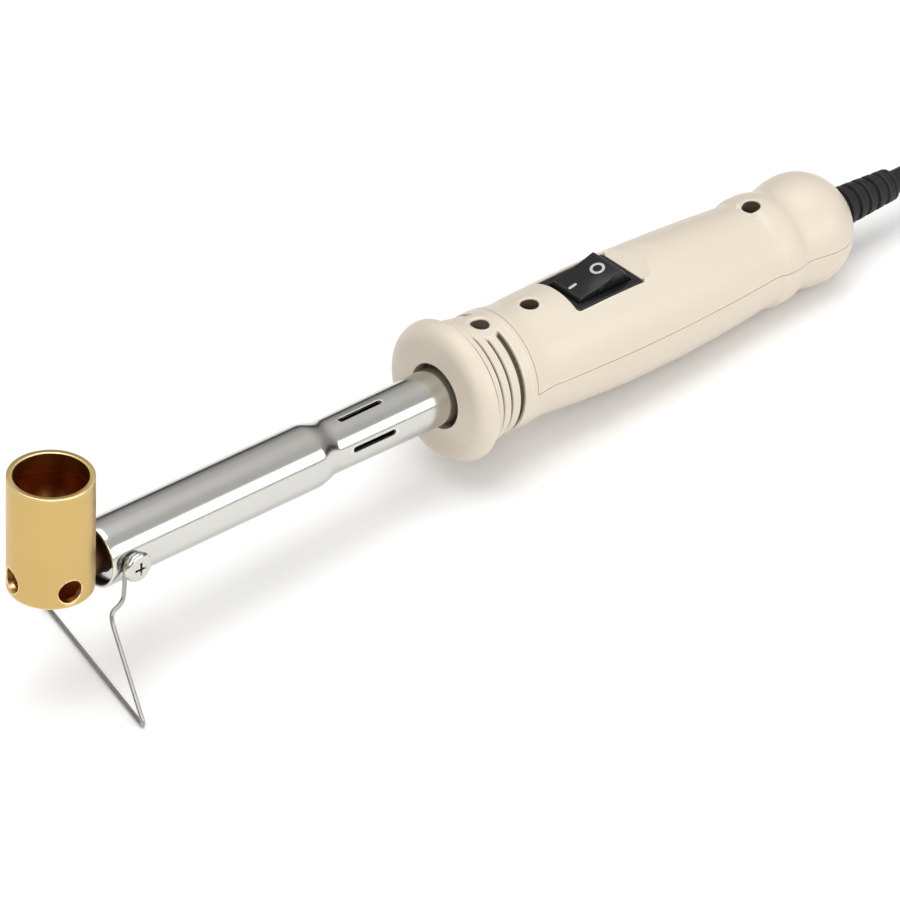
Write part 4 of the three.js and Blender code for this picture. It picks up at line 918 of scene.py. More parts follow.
# ---------------------------------------------------------------- barrel
@dataclass
class Barrel:
    """Thin steel tube, drawn down behind the heater, with five vent slots in its neck."""

    front: float = 12.1
    rear: float = 132.5
    radius: float = 8.0
    wall: float = 0.8
    taper: Tuple[float, float] = (75.7, 82.4)
    neck: float = 6.73
    rear_radius: float = 7.1
    slot_start: float = 85.7
    slot_length: float = 13.0
    slot_width: float = 1.3
    slots: int = 5
    slot_roll: float = math.radians(10)
    screw_x: float = 17.6
    screw_hole: float = 2.3
    columns: int = 144

    def outside(self, x: Array) -> Array:
        """Radius: level, a smooth draw-down, then a slow widening to the rear."""
        drop = (self.radius - self.neck) * smooth(x, *self.taper)
        widen = (self.rear_radius - self.neck) * np.clip(
            (x - self.taper[1]) / (self.rear - self.taper[1]), 0, 1)
        return self.radius - drop + widen

    def slot_tool(self, index: int) -> bpy.types.Object:
        """Narrow cutter with round ends, stood out from the axis."""
        half = self.slot_width / 2
        middle = self.slot_start + self.slot_length / 2
        loop = rounded_loop(np.array([self.slot_length / 2]), np.array([half]),
                            np.array([half * 0.98]), 64)[0]
        angle = self.slot_roll + 2 * math.pi * index / self.slots
        out = np.array([0.0, -math.cos(angle), math.sin(angle)])
        along = np.array([1.0, 0.0, 0.0])
        surface = np.sqrt(self.outside(middle + loop[:, 0]) ** 2 - loop[:, 1] ** 2)
        axes = np.array([along, np.cross(out, along), out, [middle, 0, 0]])
        return flared_tool("slot", loop, loop_normals(loop), surface, np.full(64, 3.0), 0.16, axes)

    def stain_and_shade(self, points: Array) -> Array:
        """1 on the inside of the tube, which is painted dark as shade and given a duller roughness.
        """
        radius = np.hypot(points[:, 1], points[:, 2])
        return smooth(self.outside(points[:, 0]) - radius, 0.35, 0.6)

    def build(self, shop: Workshop) -> None:
        """Makes the barrel."""
        x = spaced((self.front + 0.25, self.taper[0] - 1, 44), (*self.taper, 22),
                   (self.taper[1] + 1, self.rear - 0.2, 40))
        outside = np.c_[x, self.outside(x)]
        lip = self.wall / 2
        turn = np.linspace(math.pi, 0, 9)[1:-1]
        front = np.c_[np.full(7, self.front + 0.25) - 0.25 * np.sin(turn),
                      self.radius - lip + lip * np.cos(turn)]
        inside = np.c_[x, self.outside(x) - self.wall][::-1]
        tube = solid("steel_barrel", turned_grid(np.concatenate([outside, inside, front]),
                                                 self.columns), loop=True)
        tools = [self.slot_tool(index) for index in range(self.slots)]
        tools.append(rod("screw_bore", self.screw_hole, (self.screw_x, -16, 0),
                         (self.screw_x, 16, 0)))
        shop.fitted(carved(tube, tools), STEEL, "root", ["barrel"],
                    masks={"stain_and_shade": self.stain_and_shade})


# ---------------------------------------------------------------- tip screws
@dataclass
class TipScrews:
    """Two pan-head screws that hold the shank and carry the stand."""

    x: float = 17.6
    shaft: float = 2.0
    inner: float = 4.8
    base: float = 9.7
    head: float = 3.75
    height: float = 1.5
    recess: float = 1.0

    def screw(self, name: str, side: int) -> bpy.types.Object:
        """Revolved shaft and domed head, with a cross recess cut into the dome."""
        turn = quarter_turn(10)
        dome = np.c_[self.base + 0.35 + (self.height - 0.35) * np.sin(turn),
                     self.head * np.cos(turn) ** 0.62]
        rows = [[self.inner, 0], [self.inner, self.shaft - 0.3], [self.inner + 0.3, self.shaft]]
        threads = np.linspace(self.inner + 0.5, self.base - 0.05, 28)
        thread = self.shaft - 0.12 * (0.5 - 0.5 * np.cos(2 * math.pi * threads / 0.7))
        rows += np.c_[threads, thread].tolist()
        rows += [[self.base, self.head - 0.15], [self.base + 0.15, self.head]]
        profile = np.array(rows + dome.tolist())
        profile[-1, 1] = 0
        grid = turned_grid(profile, 64)
        turned = np.stack([grid[..., 2] + self.x, side * grid[..., 0], grid[..., 1]], -1)
        screw = solid(name, turned)
        top = self.base + self.height
        arms = []
        for long_x, long_z in ((1.75, 0.34), (0.34, 1.75)):
            narrow, corner = 0.55, 0.1
            arm = boxed_grid([(long_x * narrow, long_z * narrow, corner, top - self.recess),
                              (long_x, long_z, corner, top - 0.15),
                              (long_x, long_z, corner, top + 1)], 32)
            arms.append(solid("arm", np.stack([arm[..., 0] + self.x, side * arm[..., 2],
                                               arm[..., 1]], -1)))
        return carved(screw, arms)

    def stain_and_shade(self, points: Array) -> Array:
        """1 deep in the cross recess, where shade is painted."""
        reach = np.abs(points[:, 1])
        middle = np.hypot(points[:, 0] - self.x, points[:, 2]) < 2.0
        return np.where(middle & (reach > self.base), smooth(
            self.base + self.height - reach, 0.3, 0.9), 0.0)

    def build(self, shop: Workshop) -> None:
        """Makes both screws."""
        for name, node, side in (("tip_screw_near_pan", "tip_screw_near", -1),
                                 ("tip_screw_far_pan", "tip_screw_far", 1)):
            shop.fitted(self.screw(name, side), NICKEL, "root", [node],
                        masks={"stain_and_shade": self.stain_and_shade})


# ---------------------------------------------------------------- wire stand
@dataclass
class WireStand:
    """One bent wire with an eye at each end and a wide foot between its legs."""

    x: float = 17.6
    wire: float = 0.55
    eye: float = 2.85
    eye_y: float = 8.85
    drop: float = 31.8
    foot_x: float = 13.0
    skew: float = 6.1
    half_span: float = 26.0
    jog: float = 4.0
    bend: float = 2.4

    def bent(self, corners: Array) -> Array:
        """Straight runs joined by round bends: near each corner the path is the quadratic curve
        that leaves one run and joins the next."""
        runs = np.diff(corners, axis=0)
        lengths = np.linalg.norm(runs, axis=1)
        ways = runs / lengths[:, None]
        reach = np.minimum(self.bend, np.minimum(lengths[:-1], lengths[1:]) / 2)[:, None]
        inner = corners[1:-1]
        enter, leave = inner - ways[:-1] * reach, inner + ways[1:] * reach
        share = np.linspace(0, 1, 9)[:, None, None]
        curves = (1 - share) ** 2 * enter + 2 * share * (1 - share) * inner + share ** 2 * leave
        curves = curves.transpose(1, 0, 2).reshape(-1, 3)
        return np.concatenate([corners[:1], curves, corners[-1:]])

    def path(self, slope: float) -> Array:
        """Near eye, near leg, foot, far leg, far eye.

        Args:
            slope: How fast the bench rises along the layout.

        Returns:
            Points of the centreline, in the layout.
        """

        def foot_z(x: float) -> float:
            """Height of the foot's centreline on the bench, in the layout."""
            return -self.drop + self.wire + slope * (x - self.foot_x)

        turn = np.radians(np.linspace(-140, 176, 40))
        loop_x, loop_z = self.x + self.eye * np.cos(turn), self.eye * np.sin(turn)
        left = self.x - self.eye

        def leg(side: int) -> Array:
            """Corners from the eye down to the foot's corner."""
            foot = self.foot_x + side * self.skew
            return np.array([
                [left, side * self.eye_y, -1.2],
                [self.x - 3.4, side * (self.eye_y + 0.1), -8.8],
                [self.x - 3.4 - self.jog, side * (self.eye_y + 0.7), -9.7],
                [self.x - 3.7 - self.jog, side * (self.eye_y + 1.3), -12.0],
                [foot, side * self.half_span, foot_z(foot)]])

        near, far = leg(-1), leg(1)
        middle = self.bent(np.concatenate([near, far[::-1]]))
        eyes = [np.stack([loop_x, np.full(40, side * self.eye_y), loop_z], 1) for side in (-1, 1)]
        rough = np.concatenate([eyes[0], middle, eyes[1][::-1]])
        return resampled(rough, 0.55)

    def build(self, shop: Workshop) -> None:
        """Makes the stand."""
        path = self.path(shop.layout.slope())
        wire = solid("wire_stand", swept_grid(path, np.full(len(path), self.wire), 14))
        shop.fitted(wire, SPRING, "stand", ["stand_wire"], sharp=60)


def resampled(path: Array, step: float) -> Array:
    """The same path at even steps."""
    reach = np.concatenate([[0], np.cumsum(np.linalg.norm(np.diff(path, axis=0), axis=1))])
    at = np.linspace(0, reach[-1], int(reach[-1] / step) + 2)
    return np.stack([np.interp(at, reach, path[:, axis]) for axis in range(3)], 1)


# ---------------------------------------------------------------- grip
@dataclass
class Grip:
    """Two-part moulded grip: flange, ringed neck, belly, bead and round rear end."""

    front: float = 116.6
    flange: float = 17.9
    flange_round: Tuple[float, float] = (4.2, 3.6)
    flange_lip: float = 0.45
    neck: float = 121.5
    grooves: Tuple[Tuple[float, float, float], ...] = (
        (121.5, 0.9, 1.0), (124.1, 0.9, 0.9), (127.3, 0.9, 0.9), (130.8, 1.4, 1.3))
    seam: float = 136.1
    rings_rear: float = 132.2
    end: float = 246.1
    bow_depth: float = 1.5
    wall: float = 2.5
    pad_x: float = 129.0
    pad: float = 5.5
    hole: float = 2.25
    collar_hole_x: float = 130.2
    cover_holes: Tuple[float, float] = (146.0, 218.5)
    seam_gap: float = 0.09
    bore: float = 8.35
    bush: float = 10.8
    bush_span: Tuple[float, float] = (121.2, 134.2)
    boss: float = 3.6
    boot_hole: float = 4.6
    rear_wall: float = 4.7
    switch_x: float = 165.7
    pocket_half: Tuple[float, float] = (10.8, 7.8)
    pocket_floor: float = 10.3
    opening_half: Tuple[float, float] = (9.8, 6.55)
    bezel_top: float = 12.3
    columns: int = 176

    def bow(self, x: Array) -> Array:
        """How far the centreline hangs below the barrel's axis: one half wave of a sine."""
        share = (np.asarray(x, float) - self.rings_rear) / (self.end + 12 - self.rings_rear)
        return np.where(share > 0, self.bow_depth * np.sin(math.pi * share), 0)

    def base_radius(self, x: Array) -> Array:
        """Radius without grooves, from a smooth curve through the turned outline's main points."""
        x = np.asarray(x, float)
        rings = np.interp(x, [121.5, 122.4, 124.1, 125.0, 127.3, 128.2, 130.8, 132.2, 135.4],
                          [16.9, 16.45, 16.4, 15.7, 15.55, 15.15, 15.0, 15.05, 15.2])
        knots = np.array([[134.2, 15.2], [136.1, 15.15], [138.4, 14.85], [141.2, 14.55],
                          [145.5, 14.75], [150.5, 15.05], [157, 15.35], [164, 15.62], [171, 15.75],
                          [178, 15.68], [186, 15.5], [193, 15.22], [200, 14.85], [207, 14.35],
                          [212, 13.95], [215.5, 13.68], [217.0, 13.66]])
        curve = spline(knots, 900)
        grip = np.interp(x, curve[:, 0], curve[:, 1])
        tail = spline(np.array([[217.0, 13.66], [217.6, 13.95], [218.4, 14.25], [220.2, 14.38],
                                [222.4, 14.3], [224.2, 13.95], [225.8, 13.45], [227.2, 13.28],
                                [228.9, 13.42], [231.2, 13.92], [233.6, 14.3],
                                [235.4, 14.38]]), 500)
        tail_r = np.interp(x, tail[:, 0], tail[:, 1])
        lobe = 14.38 * np.sqrt(np.clip(1 - ((x - 235.3) / 13.0) ** 2, 0, 1))
        return np.select([x < 134.4, x < 217.0, x < 235.3], [rings, grip, tail_r], lobe)

    def groove_depth(self, x: Array) -> Array:
        """Depth of the ring grooves: level floors with walls that ease in and out."""
        depth = np.zeros_like(x)
        for start, width, deep in self.grooves:
            middle = start + width / 2
            depth += deep * (1 - smooth(np.abs(x - middle), width / 2 - 0.3, width / 2 + 0.26))
        return depth

    def radius(self, x: Array, angle: Array) -> Array:
        """Radius with the grooves, which stop at the round pad about the collar screw.

        Args:
            x: Stations along the grip.
            angle: Angles from the top, towards the near side.

        Returns:
            Stations by angles.
        """
        base = self.base_radius(x)[:, None]
        across = base * np.sin(angle)[None]
        reach = np.hypot(x[:, None] - self.pad_x, across)
        pad = (1 - smooth(reach, self.pad - 0.3, self.pad + 0.35)) * (np.cos(angle)[None] > 0)
        level = np.interp(x, [121.5, 124, 132, 136], [16.3, 15.75, 15.2, 15.15])[:, None]
        first = smooth(x, 122.9, 123.4)[:, None]
        ringed = base - self.groove_depth(x)[:, None]
        return ringed * (1 - pad * first) + np.maximum(level, base) * pad * first

    def outside(self) -> bpy.types.Object:
        """Whole outside: front face, quarter-ellipse shoulder, then the radius at each station."""
        turn = quarter_turn(14)
        long, tall = self.flange_round
        shoulder = np.c_[self.front + long * (1 - np.cos(turn)),
                         self.flange - tall * (1 - np.sin(turn))]
        face = np.c_[np.full(6, self.front), np.linspace(0, self.flange - tall - 0.6, 6)]
        lip, bend = self.flange_lip, quarter_turn(6)
        rim = np.c_[self.neck - lip + lip * np.sin(bend), self.flange - lip * (1 - np.cos(bend))]
        head = np.concatenate([face, shoulder, rim])
        angle = ring_angles(self.columns)
        x = spaced((121.56, 137, 118), (137.6, 216.6, 76), (216.8, 228, 38), (228.4, 243, 26))
        x = np.concatenate([x, 235.3 + (self.end - 235.3) * np.sin(
            np.linspace(math.asin((243.3 - 235.3) / (self.end - 235.3)), math.pi / 2, 14))])
        radius = self.radius(x, angle)
        head_grid = turned_grid(head, self.columns)
        body = np.stack([np.repeat(x[:, None], self.columns, 1), -radius * np.sin(angle),
                         radius * np.cos(angle) - self.bow(x)[:, None]], -1)
        end = np.broadcast_to([self.end, 0, -float(self.bow(self.end))], (1, self.columns, 3))
        return solid("grip", np.concatenate([head_grid, body, end]))

    def cavity(self) -> bpy.types.Object:
        """Hollow one wall inside the outside."""
        x = spaced((134.3, 217, 40), (217.5, self.end - self.rear_wall, 24))
        radius = self.base_radius(x) - self.wall
        grid = turned_grid(np.c_[x, radius], 96)
        grid[..., 2] -= self.bow(x)[:, None]
        return solid("cavity", grid)

    def top_height(self, x: Array, y: Array) -> Array:
        """Height of the outside above the layout's axis."""
        return np.sqrt(self.base_radius(x) ** 2 - y ** 2) - self.bow(x)

    def hole_tool(self, x: float, floor: float) -> bpy.types.Object:
        """Screw hole with a rounded rim, driven down from the top."""
        turn = ring_angles(56)
        way = np.stack([np.cos(turn), np.sin(turn)], 1)
        loop = self.hole * way
        axes = np.array([[1, 0, 0], [0, 1, 0], UPRIGHT, [x, 0, 0]])
        surface = self.top_height(x + loop[:, 0], loop[:, 1])
        return flared_tool("hole", loop, way, surface, np.full(56, floor), 0.5, axes)

    def pocket_tool(self) -> bpy.types.Object:
        """Switch pocket: a rounded rectangle with a rounded rim."""
        half_x, half_y = self.pocket_half
        loop = rounded_loop(np.array([half_x]), np.array([half_y]), np.array([0.8]), 160)[0]
        axes = np.array([[1, 0, 0], [0, 1, 0], UPRIGHT, [self.switch_x, 0, 0]])
        surface = self.top_height(self.switch_x + loop[:, 0], loop[:, 1])
        return flared_tool("pocket", loop, loop_normals(loop), surface,
                           np.full(160, self.pocket_floor), 0.55, axes)

    def ramp_tool(self) -> bpy.types.Object:
        """Sloped recess behind the switch, whose floor rises evenly to the surface."""
        length = 15.0
        half_x, half_y = length / 2, self.pocket_half[1] - 0.4
        loop = rounded_loop(np.array([half_x]), np.array([half_y]), np.array([2.2]), 160)[0]
        middle = self.switch_x + self.pocket_half[0] - 0.6 + half_x
        axes = np.array([[1, 0, 0], [0, 1, 0], UPRIGHT, [middle, 0, 0]])
        surface = self.top_height(middle + loop[:, 0], loop[:, 1])
        floor = self.bezel_top - 0.4 + 2.9 * (loop[:, 0] + half_x) / length
        return flared_tool("ramp", loop, loop_normals(loop), surface, floor, 0.5, axes)

    def stain_and_shade(self, points: Array) -> Array:
        """Painted shade in the grooves, the screw holes and the bore. Past 1, the material clamps it.
        """
        x, y, z = points.T
        level = z + self.bow(x)
        radius = np.hypot(y, level)
        base = self.base_radius(x)
        depth = base - radius
        groove = smooth(depth, 0.15, 0.75) * (x > 121.45) * (x < 133) * (depth < 1.6)
        holes = [smooth(depth, 0.1, 0.5) * (np.hypot(x - at, y) < self.hole + 0.2) * (z > 0)
                 for at in (self.collar_hole_x, *self.cover_holes)]
        bore = (radius < self.bore + 0.3) & (x < self.neck) & (x > self.front + 0.3)
        return groove + 1.3 * sum(holes) + 1.2 * bore

    def build(self, shop: Workshop) -> None:
        """Makes the lower shell with the flange, and the cover with the switch's pocket."""
        gap, far = self.seam_gap, 40.0
        body = self.outside()
        body.name = "grip_lower_shell"
        cover = linked("grip_cover_shell", body.data.copy())
        bosses = [rod("boss", self.boss, (x, 0, -self.base_radius(np.array([x]))[0] + 0.4),
                      (x, 0, -gap)) for x in self.cover_holes]
        carved(body, [
            block("upper", (self.seam - gap, -far, -gap), (self.end + 2, far, far)),
            self.cavity(),
            rod("bore", self.bore, (self.front - 1, 0, 0), (self.bush_span[0] + 0.5, 0, 0), 96),
            rod("seat", self.bush, (self.bush_span[0], 0, 0), (self.bush_span[1], 0, 0), 96),
            rod("boot", self.boot_hole, (self.end - self.rear_wall - 2, 0, 0),
                (self.end + 1, 0, 0), 64),
            self.hole_tool(self.collar_hole_x, 1.0)])
        carved(body, bosses, Cut.ADD)
        carved(body, [rod("pilot", 1.5, (x, 0, -6.3), (x, 0, 1)) for x in self.cover_holes])
        half_x, half_y = self.opening_half
        carved(cover, [
            block("front", (self.front - 2, -far, -far), (self.seam + gap, far, far)),
            block("lower", (self.front - 2, -far, -far), (self.end + 2, far, gap)),
            self.cavity(),
            rod("boot", self.boot_hole, (self.end - self.rear_wall - 2, 0, 0),
                (self.end + 1, 0, 0), 64)])
        seat = block("seat", (self.switch_x - half_x - 3.0, -half_y - 2.4, self.pocket_floor - 2.4),
                     (self.switch_x + half_x + 3.0, half_y + 2.4, self.pocket_floor + 0.6))
        bosses = [rod("boss", self.boss, (x, 0, gap),
                      (x, 0, self.base_radius(np.array([x]))[0] - 2)) for x in self.cover_holes]
        carved(cover, [seat, *bosses], Cut.ADD)
        carved(cover, [
            self.pocket_tool(), self.ramp_tool(),
            block("opening", (self.switch_x - half_x, -half_y, 0),
                  (self.switch_x + half_x, half_y, 30)),
            *[self.hole_tool(x, 3.7) for x in self.cover_holes],
            *[rod("pilot", 1.5, (x, 0, -1), (x, 0, 5)) for x in self.cover_holes]])
        for piece, node in ((body, "handle_body"), (cover, "handle_cover")):
            shop.fitted(piece, CREAM, "root", [node], sharp=38,
                        masks={"stain_and_shade": self.stain_and_shade})


# ---------------------------------------------------------------- switch
@dataclass
class RockerSwitch:
    """Snap-in rocker switch with its front end pressed."""

    x: float = 165.7
    bezel: Tuple[float, float] = (10.5, 7.5)
    top: float = 12.3
    thickness: float = 1.7
    housing: Tuple[float, float] = (9.5, 6.25)
    depth: float = 13.6
    wall: float = 0.85
    pivot_below: float = 2.7
    radius: float = 8.4
    crown: float = 5.2
    dish: float = 0.22
    rest_tilt: float = math.radians(14)
    play: float = 0.35
    ring_at: float = 3.4
    dash_at: float = -4.7

    def frame_piece(self, shop: Workshop) -> None:
        """Housing and bezel as one skin: up the outside, over the bezel, down the well."""
        (bx, by), (hx, hy) = self.bezel, self.housing
        wx, wy = hx - self.wall, hy - self.wall
        low, seat = self.top - self.thickness + 0.3 - self.depth, self.top - self.thickness
        turn = quarter_turn(5)
        outer = [(bx - 0.4 * (1 - math.cos(a)), by - 0.4 * (1 - math.cos(a)), 0.7,
                  self.top - 0.4 + 0.4 * math.sin(a)) for a in turn]
        inner = [(wx + 0.25 * (1 - math.sin(a)), wy + 0.25 * (1 - math.sin(a)), 0.5,
                  self.top - 0.25 + 0.25 * math.cos(a)) for a in turn]
        rows = [(hx, hy, 0.5, low), (hx, hy, 0.5, seat), (bx, by, 0.7, seat), *outer, *inner,
                (wx, wy, 0.5, low + 1.5)]
        grid = boxed_grid(rows, 128)
        grid[..., 0] += self.x
        housing = solid("rocker_housing", grid)
        slots = [block("tab", (self.x + side * 5 - 2.7, -0.7, low - 1),
                       (self.x + side * 5 + 2.7, 0.7, low + 2)) for side in (-1, 1)]
        pin = rod("pin", 1.2, (self.x, -9, self.top - self.pivot_below),
                  (self.x, 9, self.top - self.pivot_below))
        shop.fitted(carved(housing, [*slots, pin]), BLACK, "root",
                    ["switch_housing"])

    def rocked(self, grid: Array) -> Array:
        """Turns a grid about the pivot from level to rest, and moves it to the pivot."""
        x, y, z = grid[..., 0], grid[..., 1], grid[..., 2]
        cosine, sine = math.cos(self.rest_tilt), math.sin(self.rest_tilt)
        return np.stack([self.x + x * cosine - z * sine, y,
                         self.top - self.pivot_below + x * sine + z * cosine], -1)

    def cap(self, shop: Workshop) -> None:
        """Rocker: two arcs about the pivot under a flat crown, with all its edges rounded."""
        top = math.asin(self.crown / self.radius)
        ends = np.linspace(top, math.radians(-12), 14)
        right = self.radius * np.stack([np.cos(ends), np.sin(ends)], 1)
        left = (right * [-1, 1])[::-1]
        dish = self.dish * np.cos(np.linspace(-1, 1, 14)[1:-1] * math.pi / 2)
        crown = np.stack([np.linspace(left[-1, 0], right[0, 0], 14)[1:-1], self.crown - dish], 1)
        outline = np.concatenate([right, [[2.2, -3.4], [-2.2, -3.4]], left, crown])
        half = self.housing[1] - self.wall - self.play
        middle = outline.mean(axis=0)
        rows = []
        for y, inset in ((-half, 0.35), (-half + 0.1, 0.13), (-half + 0.35, 0.0),
                         (half - 0.35, 0.0), (half - 0.1, 0.13), (half, 0.35)):
            toward = outline - middle
            loop = outline - toward / np.linalg.norm(toward, axis=1, keepdims=True) * inset
            rows.append(np.stack([loop[:, 0], np.full(len(loop), y), loop[:, 1]], 1))
        rocker = solid("rocker_cap", self.rocked(np.array(rows)))
        pin = rod("pin", 1.2, (self.x, -9, self.top - self.pivot_below),
                  (self.x, 9, self.top - self.pivot_below))
        shop.fitted(carved(rocker, [pin]), BLACK, "rocker", ["switch_rocker"],
                    sharp=26)

    def crown_height(self, x: Array) -> Array:
        """Height of the crown's slight dish above the pivot."""
        half = math.sqrt(self.radius ** 2 - self.crown ** 2)
        return self.crown - self.dish * np.cos(np.clip(x / half, -1, 1) * math.pi / 2)

    def marks(self, shop: Workshop) -> None:
        """A plain ring and a plain dash, standing a hair above the crown."""
        turn = ring_angles(12)
        section = np.c_[0.05 * np.sin(turn), 1.52 + 0.36 * np.cos(turn)]
        ring = upright_grid(section, 56, (self.ring_at, 0.0))
        dash = boxed_grid([(0.4, 0.1, 0.1, -0.06), (1.25, 0.4, 0.35, 0.0),
                           (1.15, 0.32, 0.28, 0.06)], 48)
        dash[..., 0] += self.dash_at
        for name, grid, loop in (("rocker_mark_off", ring, True), ("rocker_mark_on", dash, False)):
            grid[..., 2] += self.crown_height(grid[..., 0])
            shop.fitted(solid(name, self.rocked(grid), loop), MARK, "rocker", [],
                        sharp=50)

    def build(self, shop: Workshop) -> None:
        """Makes the housing, the rocker and its marks."""
        self.frame_piece(shop)
        self.cap(shop)
        self.marks(shop)


# ---------------------------------------------------------------- cord boot
@dataclass
class CordBoot:
    """Ribbed rubber boot where the cord leaves the grip."""

    start: float = 246.4
    length: float = 20.0
    front: float = 5.25
    tail: float = 4.1
    bore: float = 3.3
    ribs: int = 6
    rib_depth: float = 0.85
    neck: float = 4.3
    flange: float = 7.0
    wall: float = 5.0

    def build(self, shop: Workshop) -> None:
        """Makes the boot: inner flange, neck, then a taper whose ribs ease in and out."""
        x = np.linspace(self.start + 0.15, self.start + self.length, 170)
        share = (x - self.start) / self.length
        phase = (share * self.ribs) % 1.0
        groove = smooth(phase, 0.5, 0.66) * (1 - smooth(phase, 0.84, 1.0)) * (share < 0.93)
        radius = self.front + (self.tail - self.front) * share
        radius = np.maximum(radius - self.rib_depth * groove, self.bore + 0.35)
        radius[-4:] -= np.array([0.05, 0.14, 0.28, 0.5])
        back = self.start - self.wall
        head = [[back - 2.5, self.bore], [back - 2.5, self.flange], [back, self.flange],
                [back, self.neck], [self.start - 0.02, self.neck], [self.start, self.front - 0.3]]
        profile = np.concatenate([head, np.c_[x, radius], [[self.start + self.length, self.bore]]])
        boot = solid("cord_boot", turned_grid(profile, 72), loop=True)
        shop.fitted(boot, RUBBER, "root", ["strain_relief"], sharp=45)


# ---------------------------------------------------------------- mains lead
@dataclass
class MainsLead:
    """Cord from the boot to a tied hank on the bench, with the plug lying on it."""

    radius: float = 3.0
    length: float = 1.5
    boot_end: float = 266.4
    near_bend: Tuple[float, float] = (70.0, -8.0)
    run: float = 82.0
    turns: float = 4.15
    outer_turn: float = 30.0
    inner_turn: float = 18.0
    layer: Tuple[float, float] = (3.8, 9.8)
    path_points: int = 1400
    strap_room: float = 0.35
    strap_half_height: float = 6.35
    strap_half_width: float = 4.0
    strap_thickness: float = 0.5
    strap_lift: float = 0.02
    plug_length: float = 38.0
    plug_width: float = 34.0
    plug_tail: float = 14.0
    plug_thickness: float = 13.0
    pin_offset: float = 9.3
    hank_top: float = 13.4
    gap: float = 0.3

    def exit_point(self, shop: Workshop) -> Array:
        """Where the cord leaves the boot, in millimetres on the bench."""
        return shop.layout.placed(np.array([self.boot_end, 0, 0])) / MM

    def hank(self) -> Array:
        """Turns of the hank, from the middle of its near bend.

        Each turn has two straight runs and two round ends. The radius shrinks by one cord a turn
        in the lower layer, stays while the cord climbs, and grows again in the upper layer.

        Returns:
            Points in millimetres: along, across and height.
        """
        turns = np.linspace(0, self.turns, 170)
        climb = np.clip((turns - 2) / 0.25, 0, 1)
        pitch = (self.outer_turn - self.inner_turn) / 2
        reach = np.where(turns < 2, self.outer_turn - pitch * turns,
                         self.inner_turn + pitch * np.maximum(turns - 2.25, 0))
        reach = reach - 0.4 * np.sin(math.pi * climb)
        middle = math.pi * (self.outer_turn + self.inner_turn) / 2
        straight = self.run / (self.run + middle)
        half, share = np.divmod(turns * 2, 1.0)
        along = np.clip(share / straight, 0, 1)
        swing = math.pi * np.clip((share - straight) / (1 - straight), 0, 1)
        back = half % 2 == 1
        x = np.where(back, self.run * (1 - along) - reach * np.sin(swing),
                     self.run * along + reach * np.sin(swing))
        y = np.where(back, -1, 1) * reach * np.cos(swing)
        low, high = self.layer
        return np.stack([x, y, low + (high - low) * smooth(climb)], 1)

    def route(self, shop: Workshop) -> Array:
        """The cord's centreline: out of the boot, down to the bench beside the hank, round the
        hank in two layers, and over its top to the plug.

        Args:
            shop: Gives the layout.

        Returns:
            Points in millimetres on the bench.
        """
        leave = self.exit_point(shop)
        high, fall = leave[2], shop.layout.slope()
        run = np.array([(0, 0, high), (6, 0, high - 6 * fall), (12, 1.1, 11.7), (18, 4, 10.6),
                        (24, 8, 9), (30, 12.5, 7.3), (36, 16.7, 5.8), (42, 20.1, 4.7),
                        (48, 21.9, 4.1), (54, 22, 3.9), (62, 22, 3.8)])
        tail = np.array([(-26, 29.8, 10.3), (-17, 30, 11.6), (-8, 30, 13.2), (0, 29.6, 14.8),
                         (8.5, 27.2, 16), (16.2, 19.5, 16.5), (19, 9, 16.6), (16.2, -1.5, 16.6),
                         (8.5, -9.2, 16.6), (-2, -12, 16.7), (-9, -12, 17.5), (-16, -12, 18.8),
                         (-22, -12, 19.6), (-26, -12, 19.9)])
        bend = np.array([*self.near_bend, 0.0])
        tail = tail + bend + [self.run, 0, 0]
        path = spline(np.concatenate([run, self.hank() + bend, tail]), self.path_points)
        path[:, :2] += leave[:2]
        return path

    def strap(self, shop: Workshop, foot: Array) -> bpy.types.Object:
        """Flat strap: a rounded loop round the near bend's turns, with a raised buckle on top."""
        middle_x = -(self.outer_turn + self.inner_turn) / 2
        half_x = (self.outer_turn - self.inner_turn) / 2 + self.radius + self.strap_room
        half_z, thick = self.strap_half_height, self.strap_thickness
        loop = rounded_loop(np.array([half_x, half_x, half_x + thick, half_x + thick]),
                            np.array([half_z, half_z, half_z + thick, half_z + thick]),
                            np.array([2.9, 2.9, 3.3, 3.3]), 96)
        y = self.strap_half_width * np.array([-1.0, 1.0, 1.0, -1.0])
        grid = np.stack([loop[..., 0] + middle_x, np.repeat(y[:, None], 96, 1),
                         loop[..., 1] + half_z + thick], -1)
        grid += [*(foot[:2] + self.near_bend), self.strap_lift]
        strap = solid("cord_strap", grid * MM, loop=True)
        buckle = boxed_grid([(3.4, 4.6, 0.8, 13.35), (3.9, 5.0, 1.0, 13.5), (3.9, 5.0, 1.0, 13.9),
                             (3.5, 4.6, 0.8, 14.15)], 48)
        buckle[..., :2] += foot[:2] + self.near_bend + [middle_x, 0]
        carved(strap, [solid("buckle", buckle * MM)], Cut.ADD)
        return shop.fitted(strap, BLACK, "root", ["cord_tie"], laid_out=False)

